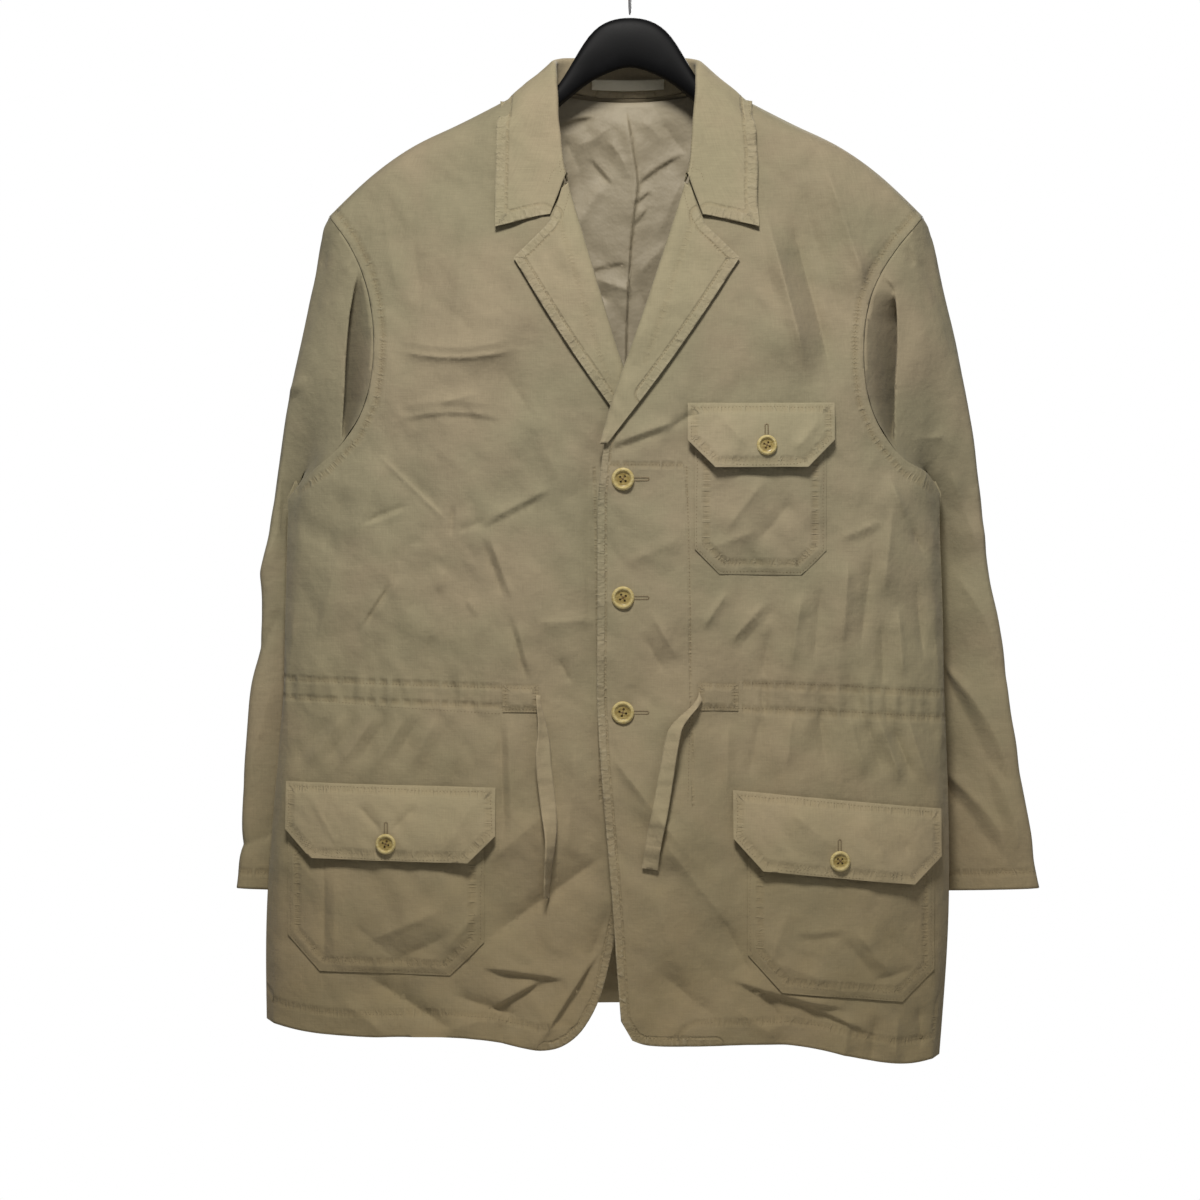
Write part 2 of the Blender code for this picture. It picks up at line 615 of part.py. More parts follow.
SLEEVE_CLEAR = 0.0045          # the sleeve's face stays this far from the body it hangs beside
SLEEVE_RISE = 0.004            # the sleeve first rises this far from the low part of the armhole
RISE_ALONG = 0.045
SLEEVE_ROWS = 15
EASING_ROUNDS = 6


ARMHOLE_FRONT = sum(FRONT_ROWS[:2])
ARMHOLE_BACK = sum(BACK_ROWS[:2])
SLEEVE_COLUMNS = ARMHOLE_FRONT + ARMHOLE_BACK


def armhole_loop(side, turn):
    """Armhole seam and the body's normal there, from the shoulder tip down the front and up the back."""
    station = turn * SLEEVE_COLUMNS
    in_front = (station <= ARMHOLE_FRONT)[..., None]
    front_v = np.minimum(station, ARMHOLE_FRONT) / sum(FRONT_ROWS)
    back_v = np.minimum(SLEEVE_COLUMNS - station, ARMHOLE_BACK) / sum(BACK_ROWS)
    outermost, edge = np.ones_like(turn), np.full_like(turn, (1 + side) / 2)
    front = front_surface(side)
    seam = np.where(in_front, front(outermost, front_v), back_surface(edge, back_v))
    normal = np.where(in_front, surface_normals(front, outermost, front_v, -side),
                      surface_normals(back_surface, edge, back_v, 1.0))
    return seam, normal


def keep_clear(side, points, share):
    """Moves a share of the sleeve points that would lie in the body to just outside its ring."""
    x, y, z = side * points[..., 0], points[..., 1] - SIDE_Y, points[..., 2]
    wide = half_width[side](z) + SLEEVE_CLEAR
    deep = np.where(y < 0, front_depth(z), back_depth(z)) + SLEEVE_CLEAR
    power = np.where(y < 0, ROUNDNESS_FRONT, ROUNDNESS_BACK)
    for _ in range(3):
        over, depth = np.maximum(x / wide, 1e-3), np.maximum(np.abs(y) / deep, 1e-3)
        ring = (over**power + depth**power) ** (1 / power)
        slope_x = (over / ring) ** (power - 1) / wide
        slope_y = np.sign(y) * (depth / ring) ** (power - 1) / deep
        push = np.maximum(1 - ring, 0) / (slope_x**2 + slope_y**2)
        x, y = x + push * slope_x, y + push * slope_y
    outside = np.stack([side * x, y + SIDE_Y, z], axis=-1)
    return points + (outside - points) * (share * ease((UNDERARM_Z + 0.004 - z) / 0.010))[..., None]


def sleeve_loops(side, u):
    """The armhole seam, a rise from it into the hole, then the table's rings, each as a loop of points."""
    seam, body = armhole_loop(side, u)
    level = np.clip(2 * (seam[..., 2] - UNDERARM_Z) / (SHOULDER_TIP_Z - UNDERARM_Z) - 1, -1, 1)
    in_front = (u * SLEEVE_COLUMNS <= ARMHOLE_FRONT)[..., None]
    hole = unit(np.array([side * 0.292, 0.0, -0.385]) - seam)
    seam = seam + (SEAM + 0.0002) * hole
    away = np.array([side * 1.0, 0.0, -0.35])
    low = ease(0.6 - level)[..., None]
    made = [seam, seam + SLEEVE_RISE * (hole * low + away * (1 - low))]
    bulge = np.sqrt(1 - level**2)[..., None] ** 0.8
    raised = (1 + level[..., None]) / 2
    for ring in SLEEVE:
        outer = np.array([side * getattr(ring, SIDE_NAME[side]), ring.y, ring.z])
        inner = np.array([side * getattr(ring, f"inner_{SIDE_NAME[side]}"), ring.inner_y, ring.inner_z])
        middle = (outer + inner) / 2 + (outer - inner) / 2 * level[..., None]
        inward = np.where(in_front, ring.front_in, ring.back_in)
        inward = inward * bulge * np.where(inward > 0, raised, 1 - raised) ** 0.7
        forward = np.where(in_front, ring.front, -ring.back) * bulge * (0.5 + 0.5 * raised)
        made.append(middle - np.concatenate([side * inward, forward, 0 * inward], axis=-1))
    return np.stack(made), body, level


def sleeve_grid(side):
    """Points and outward normals of a sleeve's outer face, row by row from armhole to cuff.

    The rings are joined smoothly, then the cloth under the arm is eased by averaging with its neighbours.
    """
    u = np.arange(SLEEVE_COLUMNS) / SLEEVE_COLUMNS
    loops, body, level = sleeve_loops(side, u)
    alongs = [0.0, RISE_ALONG] + [ring.along for ring in SLEEVE]
    along = np.linspace(0, 1, SLEEVE_ROWS + 1)
    flat = through(alongs, loops.reshape(len(alongs), -1))(along)
    points = flat.reshape(SLEEVE_ROWS + 1, SLEEVE_COLUMNS, 3)
    slack = (0.5 * ease((0.35 - level) / 0.9) * ease((0.62 - along[:, None]) / 0.25))[..., None]
    slack[0] = slack[-1] = 0
    clear = ease((along[:, None] - 0.06) / 0.06)
    for _ in range(EASING_ROUNDS):
        above, below = np.roll(points, 1, axis=0), np.roll(points, -1, axis=0)
        around = (above + below + np.roll(points, 1, axis=1) + np.roll(points, -1, axis=1)) / 4
        points = keep_clear(side, points + slack * (around - points), clear)
    across = np.roll(points, -1, axis=1) - np.roll(points, 1, axis=1)
    down = np.gradient(points, axis=0)
    own = unit(np.cross(across, down)) * side
    # At the seam the sleeve shares the body's normal, except where it folds back on the body.
    folded = ease((0.9 - np.sum(own[0] * body, axis=-1)) / 0.5)[..., None]
    own[0] = unit(body * (1 - folded) + own[0] * folded)
    return points, own


def at_stations(values):
    """Looks up a sleeve's values at the stations of its grid."""
    def at(u, v):
        row, station = np.rint(v * SLEEVE_ROWS).astype(int), np.rint(u * SLEEVE_COLUMNS).astype(int)
        return values[row, station % SLEEVE_COLUMNS]

    return at


# Patches sewn on a front
class Patch(NamedTuple):
    """A pocket or flap: its corners before the lower ones are cut off, out from the centre line."""
    side: int
    near: float       # edge towards the front edge
    far: float
    top: float        # height at the near edge
    bottom: float
    slope: float      # fall per metre out
    cut: float        # lower corners cut off by this much
    bulge: float      # how far the middle stands off the front
    edge_lift: float  # its face at the sewn edges
    flare: float      # how far the lower edge stands off


PATCH_CLOTH = 0.0013           # wall of pockets, flaps and tabs
FLAP_RAMP = 0.17               # share of a flap's height over which it climbs on to its pocket
POCKETS = {
    "pocket_chest": Patch(1, 0.0595, 0.1765, -0.446, -0.580, 0.01, 0.022, 0.0035, 0.0019, 0.0),
    "pocket_hip_right": Patch(-1, 0.1255, 0.3015, -0.784, -0.934, -0.02, 0.030, 0.0060, 0.0023, 0.0),
    "pocket_hip_left": Patch(1, 0.1065, 0.2745, -0.790, -0.945, 0.10, 0.030, 0.0060, 0.0023, 0.0),
}
FLAPS = {
    "flap_chest": Patch(1, 0.0535, 0.1835, -0.430, -0.487, -0.01, 0.024, 0.0045, 0.0042, 0.0045),
    "flap_hip_right": Patch(-1, 0.1155, 0.3035, -0.768, -0.834, -0.02, 0.024, 0.0070, 0.0044, 0.0060),
    "flap_hip_left": Patch(1, 0.0935, 0.2805, -0.770, -0.838, 0.10, 0.026, 0.0070, 0.0044, 0.0060),
}
TABS = {
    "casing_tab_right": Patch(-1, 0.0775, 0.1095, -0.678, -0.702, 0.0, 0.0, 0.0008, 0.0022, 0.0),
    "casing_tab_left": Patch(1, 0.0625, 0.0985, -0.676, -0.700, 0.02, 0.0, 0.0008, 0.0022, 0.0),
}


def patch_y(patch, u, v, out, z):
    """Depth of a patch's face: sewn flat along a flap's top, then over the pocket, fullest in its middle."""
    swell = (16 * u * (1 - u) * v * (1 - v)) ** 0.7
    raised = ease(v / FLAP_RAMP) if patch.flare else 1.0
    sewn = PATCH_CLOTH + SEAM + 0.13 * patch.bulge
    lift = sewn + (patch.edge_lift - sewn) * raised + patch.bulge * swell + patch.flare * v**2
    return front_y(patch.side, out, z) - lift


def patch_surface(patch, rows):
    """The outer face of a patch, made from the front's points moved out: u across, v down.

    The last two rows lie in the height of the cut corners.
    """
    tall = patch.top - patch.bottom

    def at(u, v):
        if patch.cut:
            knee, knee_row = 1 - patch.cut / tall, 1 - 2 / rows
            in_corner = knee + (v - knee_row) * (1 - knee) / (1 - knee_row)
            v = np.where(v < knee_row, v * knee / knee_row, in_corner)
        inset = patch.cut * np.clip((v - 1 + patch.cut / tall) * tall / max(patch.cut, 1e-6), 0, 1)
        out = patch.near + inset + (patch.far - patch.near - 2 * inset) * u
        z = patch.top - tall * v - patch.slope * (out - patch.near)
        return np.stack([patch.side * out, patch_y(patch, u, v, out, z), z], axis=-1)

    return at


def patch_depth(patch):
    """Depth of a patch's face by distance from the centre line and height."""
    def at(out, z):
        v = (patch.top - patch.slope * (out - patch.near) - z) / (patch.top - patch.bottom)
        return patch_y(patch, (out - patch.near) / (patch.far - patch.near), v, out, z)

    return at


# Hanging ties of the waist drawstring
class TiePoint(NamedTuple):
    out: float
    z: float
    lift: float       # middle of the tape, off the front
    turn: float       # degrees the tape is twisted


TIES = {
    "tie_right": (-1, (
        TiePoint(0.0698, -0.690, 0.0020, 0),
        TiePoint(0.0700, -0.708, 0.0070, 40),
        TiePoint(0.0735, -0.738, 0.0100, 22),
        TiePoint(0.0695, -0.778, 0.0080, 5),
        TiePoint(0.0660, -0.816, 0.0100, 48),
        TiePoint(0.0685, -0.850, 0.0115, 66),
        TiePoint(0.0700, -0.878, 0.0110, 74))),
    "tie_left": (1, (
        TiePoint(0.0552, -0.688, 0.0020, 0),
        TiePoint(0.0490, -0.698, 0.0062, 24),
        TiePoint(0.0410, -0.718, 0.0100, 32),
        TiePoint(0.0350, -0.750, 0.0100, 24),
        TiePoint(0.0295, -0.785, 0.0085, 12),
        TiePoint(0.0235, -0.815, 0.0075, 4),
        TiePoint(0.0200, -0.842, 0.0070, 0))),
}


def tie_surface(side, points):
    """A tie's face: u across the tape, v down it."""
    shares = np.linspace(0, 1, len(points))
    route = {n: through(shares, [getattr(p, n) for p in points]) for n in TiePoint._fields}

    def at(u, v):
        out, z = route["out"](v), route["z"](v)
        step = 1e-3
        run = np.stack([route["out"](np.minimum(v + step, 1)) - route["out"](np.maximum(v - step, 0)), 0 * v,
                        route["z"](np.minimum(v + step, 1)) - route["z"](np.maximum(v - step, 0))], axis=-1)
        run = unit(run)
        flat = np.stack([-run[..., 2], 0 * v, run[..., 0]], axis=-1)
        turn = np.radians(route["turn"](v))[..., None]
        wide = flat * np.cos(turn) + np.array([0.0, -1.0, 0.0]) * np.sin(turn)
        base = np.stack([out, front_y(side, out, z) - route["lift"](v), z], axis=-1)
        place = base + wide * ((u - 0.5) * TIE_WIDTH)[..., None]
        place[..., 0] *= side
        return place

    return at


# Buttons
def button(name, side, out, z, diameter, depth):
    """A turned button with a raised rim and a dished middle, seated on a depth given by place."""
    radius = diameter / 2
    dish, rim, under = 0.0022, 0.0037, 0.0006
    profile = ((0.00, dish), (0.58, dish), (0.78, rim), (0.92, rim - 0.0002), (1.00, dish + 0.0002),
               (0.92, under), (0.00, under))
    bm = bmesh.new()
    points = [bm.verts.new((share * radius, 0.0, height)) for share, height in profile]
    edges = [bm.edges.new(pair) for pair in zip(points, points[1:])]
    bmesh.ops.spin(bm, geom=points + edges, axis=(0, 0, 1), cent=(0, 0, 0), angle=2 * math.pi,
                   steps=BUTTON_STEPS, use_merge=True)
    bmesh.ops.remove_doubles(bm, verts=bm.verts[:], dist=1e-6)
    made = finish_mesh(bm, name, BUTTON_LOOK)
    slope_out = (depth(out + radius, z) - depth(out - radius, z)) / diameter
    slope_z = (depth(out, z + radius) - depth(out, z - radius)) / diameter
    facing = Vector((side * float(slope_out), -1.0, float(slope_z))).normalized()
    made.location = (side * out, float(depth(out, z)), z)
    made.rotation_euler = facing.to_track_quat("Z", "Y").to_euler()
    return made


BUTTON_HEIGHTS = (-0.497, -0.601, -0.702)
POCKET_BUTTONS = {"chest": (0.1225, -0.4675), "hip_right": (0.2110, -0.817), "hip_left": (0.1865, -0.832)}


# Half lining and hanging loop
def lining_surface(u, v):
    """The half lining's inner face: u across the back, v from neck to hem, a pleat down its middle."""
    hem_z, half_top, half_hem = -0.455, 0.105, 0.200
    clear = 0.0052 + 0.004 * np.exp(-(v / 0.10) ** 2)
    share = 2 * u - 1
    half = half_top + (half_hem - half_top) * ease(v / 0.55)
    x = share * half
    neck_seam = NECK_BACK_Z - 0.004 + 0.006 * (x / NECK_HALF) ** 2
    top = np.where(np.abs(x) < NECK_HALF, neck_seam, ridge_z(np.abs(x)) - 0.016)
    z = top + (hem_z - top) * v
    y = back_y(x, z) - clear
    fall = ease(v / 0.15)
    pleat = 0.0055 * np.exp(-((x - 0.006 - 0.012 * v) / 0.010) ** 2)
    drape = 0.004 * np.sin(x * 52 + 3.0 * v) * np.sin(np.pi * v)
    return np.stack([x, y - fall * (pleat + np.maximum(drape, -0.001)), z], axis=-1)


def loop_surface(u, v):
    """The hanging loop, a flat woven strip sewn inside the neck."""
    x = -0.031 + 0.066 * u
    turn = np.full_like(x, 0.5) + np.clip(x / 0.4, -0.2, 0.2)
    stand = collar_surface(turn, np.full_like(x, 0.037) + 0.058 * v)
    slack = 0.0014 * np.sin(np.pi * u)
    return np.stack([x, stand[..., 1] - LOOP_CLOTH - 2 * SEAM - slack, stand[..., 2]], axis=-1)


# Hanger
class Arm(NamedTuple):
    """A section of the hanger by distance from its middle."""
    out: float
    top: float
    bottom: float
    thick: float      # half thickness


HANGER = (
    Arm(out=0.000, top=-0.0760, bottom=-0.1210, thick=0.0075),
    Arm(out=0.022, top=-0.0795, bottom=-0.1290, thick=0.0078),
    Arm(out=0.040, top=-0.0930, bottom=-0.1380, thick=0.0082),
    Arm(out=0.049, top=-0.1060, bottom=-0.1450, thick=0.0086),
    Arm(out=0.054, top=-0.1200, bottom=-0.1500, thick=0.0090),
    Arm(out=0.060, top=-0.1400, bottom=-0.1570, thick=0.0094),
    Arm(out=0.085, top=-0.1510, bottom=-0.1720, thick=0.0105),
    Arm(out=0.120, top=-0.1680, bottom=-0.1910, thick=0.0120),
    Arm(out=0.160, top=-0.1860, bottom=-0.2110, thick=0.0140),
    Arm(out=0.200, top=-0.2070, bottom=-0.2330, thick=0.0150),
    Arm(out=HANGER_HALF, top=-0.2250, bottom=-0.2400, thick=0.0130),
)
HANGER_SECTIONS = 24
HANGER_SIDES = 12


def hanger_body():
    """A moulded hanger: round-edged sections lofted from arm end to arm end."""
    top, bottom, thick = (column(HANGER, "out", n) for n in ("top", "bottom", "thick"))
    bm = bmesh.new()
    bmesh.ops.create_grid(bm, x_segments=HANGER_SECTIONS, y_segments=HANGER_SIDES, size=0.5)
    low = {round(p.co.x, 5): p for p in bm.verts if p.co.y < -0.4999}
    bmesh.ops.weld_verts(bm, targetmap={p: low[round(p.co.x, 5)] for p in bm.verts if p.co.y > 0.4999})
    for p in bm.verts:
        station = 2 * p.co.x
        angle = 2 * math.pi * p.co.y
        out = abs(station) * HANGER_HALF
        high, deep, half = float(top(out)), float(bottom(out)), float(thick(out))
        across = math.copysign(abs(math.cos(angle)) ** 0.7, math.cos(angle))
        upward = math.copysign(abs(math.sin(angle)) ** 0.8, math.sin(angle))
        p.co = Vector((station * HANGER_HALF, half * across, (high + deep) / 2 + (high - deep) / 2 * upward))
    bmesh.ops.holes_fill(bm, edges=[e for e in bm.edges if e.is_boundary])
    made = finish_mesh(bm, "hanger_body", HANGER_LOOK)
    made.location.x = HANGER_X
    return made


def hanger_hook():
    """A bent wire hook, with the rail's seat at the top of its inner side."""
    bend = HOOK_BEND + HOOK_WIRE
    foot = HANGER[0].top + SEAM
    neck = -HOOK_BEND - bend - 0.006
    route = [(0.0, foot), (0.0, foot + 0.008), (0.0, neck - 0.004)]
    route += [(0.006 * (1 - math.cos(t)), neck + 0.006 * math.sin(t)) for t in np.linspace(0.3, 1.4, 4)]
    around = np.radians(np.linspace(-62, 205, 20))
    route += [(bend * math.cos(a), -HOOK_BEND + bend * math.sin(a)) for a in around]
    curve = bpy.data.curves.new("hanger_hook", "CURVE")
    curve.dimensions = "3D"
    curve.bevel_depth = HOOK_WIRE
    curve.bevel_resolution = 1
    curve.use_fill_caps = True
    line = curve.splines.new("POLY")
    line.points.add(len(route) - 1)
    for point, (x, z) in zip(line.points, route):
        point.co = (x, 0.0, z, 1.0)
    made = add_object("hanger_hook", curve, HOOK_LOOK)
    made.location.x = HANGER_X
    return made


# Assembly
for old in list(bpy.data.objects):
    bpy.data.objects.remove(old)
parts = bpy.data.collections.new("jacket_on_hanger")
bpy.context.scene.collection.children.link(parts)
garment = bpy.data.objects.new("garment", None)
garment.location.x = -HANGER_X
parts.objects.link(garment)

FRONT_CASING = (0.36, 0.97, sum(FRONT_ROWS[:3]) / sum(FRONT_ROWS), sum(FRONT_ROWS[:4]) / sum(FRONT_ROWS), 4)
BACK_CASING = (0.03, 0.97, sum(BACK_ROWS[:3]) / sum(BACK_ROWS), sum(BACK_ROWS[:4]) / sum(BACK_ROWS), 2)
for own_side, own_name in SIDE_NAME.items():
    cloth(f"front_{own_name}", front_surface(own_side), 16, sum(FRONT_ROWS), outward=-own_side,
          fine=FRONT_CASING)
    cloth(f"lapel_{own_name}", lapel_surface(own_side), 12, 8, outward=-own_side)
    face, face_normals = sleeve_grid(own_side)
    cloth(f"sleeve_{own_name}", at_stations(face), SLEEVE_COLUMNS, SLEEVE_ROWS, tube=True,
          normals=at_stations(face_normals))
cloth("back", back_surface, 20, sum(BACK_ROWS), fine=BACK_CASING)
cloth("collar", collar_surface, 24, STAND_ROWS + BEND_ROWS + FALL_ROWS)
cloth("lining_back", lining_surface, 14, 8, LINING_LOOK, wall=LINING_CLOTH, outward=-1.0)
cloth("hanging_loop", loop_surface, 6, 2, TAPE_LOOK, wall=LOOP_CLOTH, outward=-1.0)
for label, patch in POCKETS.items():
    cloth(label, patch_surface(patch, 7), 7, 7, wall=PATCH_CLOTH, outward=-patch.side)
for label, patch in FLAPS.items():
    cloth(label, patch_surface(patch, 6), 8, 6, wall=PATCH_CLOTH, outward=-patch.side)
for label, patch in TABS.items():
    cloth(label, patch_surface(patch, 2), 4, 2, wall=PATCH_CLOTH, outward=-patch.side)
for label, (own_side, points) in TIES.items():
    cloth(label, tie_surface(own_side, points), 2, 16, wall=TIE_CLOTH, outward=-own_side)

left_front = partial(front_y, 1)
for number, z in enumerate(BUTTON_HEIGHTS, start=1):
    button(f"button_front_{number}", 1, BUTTON_OUT, z, FRONT_BUTTON_D, left_front)
for label, (out, z) in POCKET_BUTTONS.items():
    patch = FLAPS[f"flap_{label}"]
    button(f"button_{label}", patch.side, out, z, POCKET_BUTTON_D, patch_depth(patch))

hanger_body()
hanger_hook()
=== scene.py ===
"""Looks of a khaki cotton jacket with patch pockets and a drawn waist, hanging on a moulded hanger.

Metres, +Z up, the front faces -Y. Left and right are the wearer's, so the left is at +X.
"""

import math
from typing import NamedTuple

import bmesh
import bpy
import numpy as np
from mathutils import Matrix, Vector
from mathutils.bvhtree import BVHTree
from mathutils.kdtree import KDTree


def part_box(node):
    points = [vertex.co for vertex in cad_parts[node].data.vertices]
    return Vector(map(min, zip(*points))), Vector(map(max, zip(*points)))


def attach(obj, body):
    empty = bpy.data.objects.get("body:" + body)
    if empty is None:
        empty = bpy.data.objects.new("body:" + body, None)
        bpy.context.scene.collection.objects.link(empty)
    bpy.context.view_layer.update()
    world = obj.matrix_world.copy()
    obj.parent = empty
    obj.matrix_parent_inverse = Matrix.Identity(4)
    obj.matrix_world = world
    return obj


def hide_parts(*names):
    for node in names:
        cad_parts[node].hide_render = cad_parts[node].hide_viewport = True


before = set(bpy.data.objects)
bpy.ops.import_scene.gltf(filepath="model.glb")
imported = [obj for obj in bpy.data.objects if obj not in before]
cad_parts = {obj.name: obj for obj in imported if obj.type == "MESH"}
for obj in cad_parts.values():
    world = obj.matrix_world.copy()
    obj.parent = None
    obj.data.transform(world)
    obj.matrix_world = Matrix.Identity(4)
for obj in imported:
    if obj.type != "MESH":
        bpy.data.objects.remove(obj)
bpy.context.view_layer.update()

# Khaki cotton
# Washed, densely woven cotton in one colour, faded unevenly to warm beige and grey green.
# Every sewn piece of the shell is cut from it, so its finish comes before the pieces.
KHAKI_GREEN = (0.330, 0.292, 0.186, 1.0)
KHAKI_BEIGE = (0.372, 0.308, 0.202, 1.0)
KHAKI_BROWN = (0.275, 0.207, 0.104, 1.0)
KHAKI_FADED = (0.500, 0.438, 0.300, 1.0)
# Painted shade: the cloth's colour darkened where a sleeve's tuck and its inner side lie in shade.
KHAKI_PAINTED_SHADE = (0.075, 0.056, 0.030, 1.0)     # in the depth of a tuck


class Socket:
    """A shader socket: sums on it add Math nodes, and node() adds any other kind."""

    def __init__(self, tree, out=None):
        self.tree, self.out = tree, out

    def node(self, kind, sockets, output=0, **settings):
        made = self.tree.nodes.new(kind)
        for name, value in settings.items():
            setattr(made, name, value)
        for name, value in sockets.items():
            if isinstance(value, Socket):
                self.tree.links.new(value.out, made.inputs[name])
            else:
                made.inputs[name].default_value = value
        return Socket(self.tree, made.outputs[output])

    def sum(self, operation, *values):
        return self.node("ShaderNodeMath", dict(enumerate(values)), operation=operation)

    def __add__(self, other):
        return self.sum("ADD", self, other)

    __radd__ = __add__

    def __sub__(self, other):
        return self.sum("SUBTRACT", self, other)

    def __rsub__(self, other):
        return self.sum("SUBTRACT", other, self)

    def __mul__(self, other):
        return self.sum("MULTIPLY", self, other)

    __rmul__ = __mul__

    def mix(self, first, second):
        """Colour that goes from first to second as this value goes from 0 to 1."""
        return self.node("ShaderNodeMix", {0: self, 6: first, 7: second}, output=2, data_type="RGBA")

    def ramp(self, low, high):
        """This value, softly stepped from 0 at low to 1 at high."""
        return self.node("ShaderNodeMapRange", {0: self, 1: low, 2: high}, interpolation_type="SMOOTHSTEP")

    def stretched(self, *scale):
        """These coordinates, scaled along each axis."""
        return self.node("ShaderNodeMapping", {"Vector": self, "Scale": scale})

    def noise(self, scale, detail=2.0, roughness=0.5, distortion=0.0):
        """Cloudy values about one half, at these coordinates."""
        return self.node("ShaderNodeTexNoise", {"Vector": self, "Scale": scale, "Detail": detail,
                                                "Roughness": roughness, "Distortion": distortion})

    def bump(self, strength=1.0, distance=1.0):
        """The surface's normal with this value as its height."""
        return self.node("ShaderNodeBump", {"Height": self, "Strength": strength, "Distance": distance})


def finish_of(name, roughness, constants=()):
    """A new material, its object coordinates as a socket, and its shader with the constant values set."""
    material = bpy.data.materials.new(name)
    material.use_nodes = True
    shader = material.node_tree.nodes["Principled BSDF"]
    shader.inputs["Roughness"].default_value = roughness
    for key, value in dict(constants).items():
        shader.inputs[key].default_value = value
    place = Socket(material.node_tree).node("ShaderNodeTexCoord", {}, output="Object")
    return material, place, shader


def feed(socket, shader, name):
    socket.tree.links.new(socket.out, shader.inputs[name])


def cotton(name, green, beige, brown, faded):
    """Cotton, faded in clouds, brown towards the hem, with a fine weave and puckered, worn edges, and painted
    shade in its stitching grooves, in the sleeves' tucks and towards the top.
    """
    material, place, shader = finish_of(name, 0.82, {"Sheen Weight": 0.10, "Sheen Roughness": 0.5,
                                                     "Specular IOR Level": 0.22})
    thread = place.node("ShaderNodeUVMap", {}, uv_map="weave")
    edges = place.node("ShaderNodeUVMap", {}, uv_map="edges")
    painted_shade = place.node("ShaderNodeAttribute", {}, output="Fac", attribute_name="painted_shade")
    height = place.node("ShaderNodeSeparateXYZ", {"Vector": place}, output="Z")
    inset = place.node("ShaderNodeSeparateXYZ", {"Vector": edges}, output="Y")
    clouds = place.noise(9.0, 3.0, 0.6)
    blots = place.noise(34.0, 4.0, 0.6)
    rumple = place.noise(60.0, 3.0)
    slubs = thread.stretched(70.0, 1400.0, 1.0).noise(1.0)
    warps = thread.stretched(1500.0, 60.0, 1.0).noise(1.0)
    ripples = edges.stretched(290.0, 0.9, 1.0).noise(1.0, 1.0)
    band = 1.0 - inset.ramp(0.80, 1.30)
    from_row = inset - 1.0
    groove = 1.0 - from_row.sum("ABSOLUTE", from_row).ramp(0.02, 0.24)
    groove = groove * ripples.ramp(0.30, 0.60)
    worn = (1.0 - inset.ramp(0.05, 0.30)) * 0.30 + band * ripples.ramp(0.50, 0.72) * 0.30
    low = 1.0 - height.ramp(-1.05, -0.45)
    colour = clouds.ramp(0.36, 0.66).mix(green, beige)
    colour = (low * (0.50 + 0.40 * blots)).mix(colour, brown)
    colour = (worn * blots.ramp(0.25, 0.65)).mix(colour, faded)
    # Painted shade in the stitching's groove, darkened towards brown.
    colour = (groove * 0.30).mix(colour, brown)
    # Painted shade, from a point attribute, in the sleeves' tucks and on their inner sides beside the body.
    colour = (painted_shade * 0.62).mix(colour, KHAKI_PAINTED_SHADE)
    # Random thread and blot tone, and painted shade that darkens the cloth towards the top, where it faces
    # the lamp.
    tone_and_painted_shade = 0.80 + 0.22 * slubs + 0.18 * warps + 0.14 * (blots - 0.5) - 0.13 * height.ramp(-0.66, -0.30)
    shade = place.node("ShaderNodeCombineXYZ", {"X": tone_and_painted_shade, "Y": tone_and_painted_shade, "Z": tone_and_painted_shade})
    colour = place.node("ShaderNodeVectorMath", {0: colour, 1: shade}, operation="MULTIPLY")
    feed(colour, shader, "Base Color")
    feed(0.76 + 0.14 * blots, shader, "Roughness")
    weave = 0.0018 * rumple + 0.00011 * slubs + 0.00009 * warps
    relief = weave + 0.0015 * band * (ripples - 0.5) - 0.0008 * groove
    feed(relief.bump(), shader, "Normal")
    return material


shell_cotton = cotton("khaki cotton", KHAKI_GREEN, KHAKI_BEIGE, KHAKI_BROWN, KHAKI_FADED)

# Front panels
# The two fronts hang from the shoulders and button left over right, each one ply of cotton with a facing.
# Their creases are pressed and slept-in folds, placed one by one, and soft waves in between.
CLOTH = 0.0015
MIDDLE = -0.0035        # the neck's centre line


class Crease(NamedTuple):
    """A row of a crease table: a soft ridge, or a trough if its height is below zero, seen from the front."""
    x: float
    z: float
    run: float        # half its length
    width: float
    turn: float       # degrees from level, rising to the viewer's right
    height: float
    bow: float = 0.0  # how far its middle lies above its ends
    step: float = 0.0  # how far the cloth above it stands forward of the cloth below


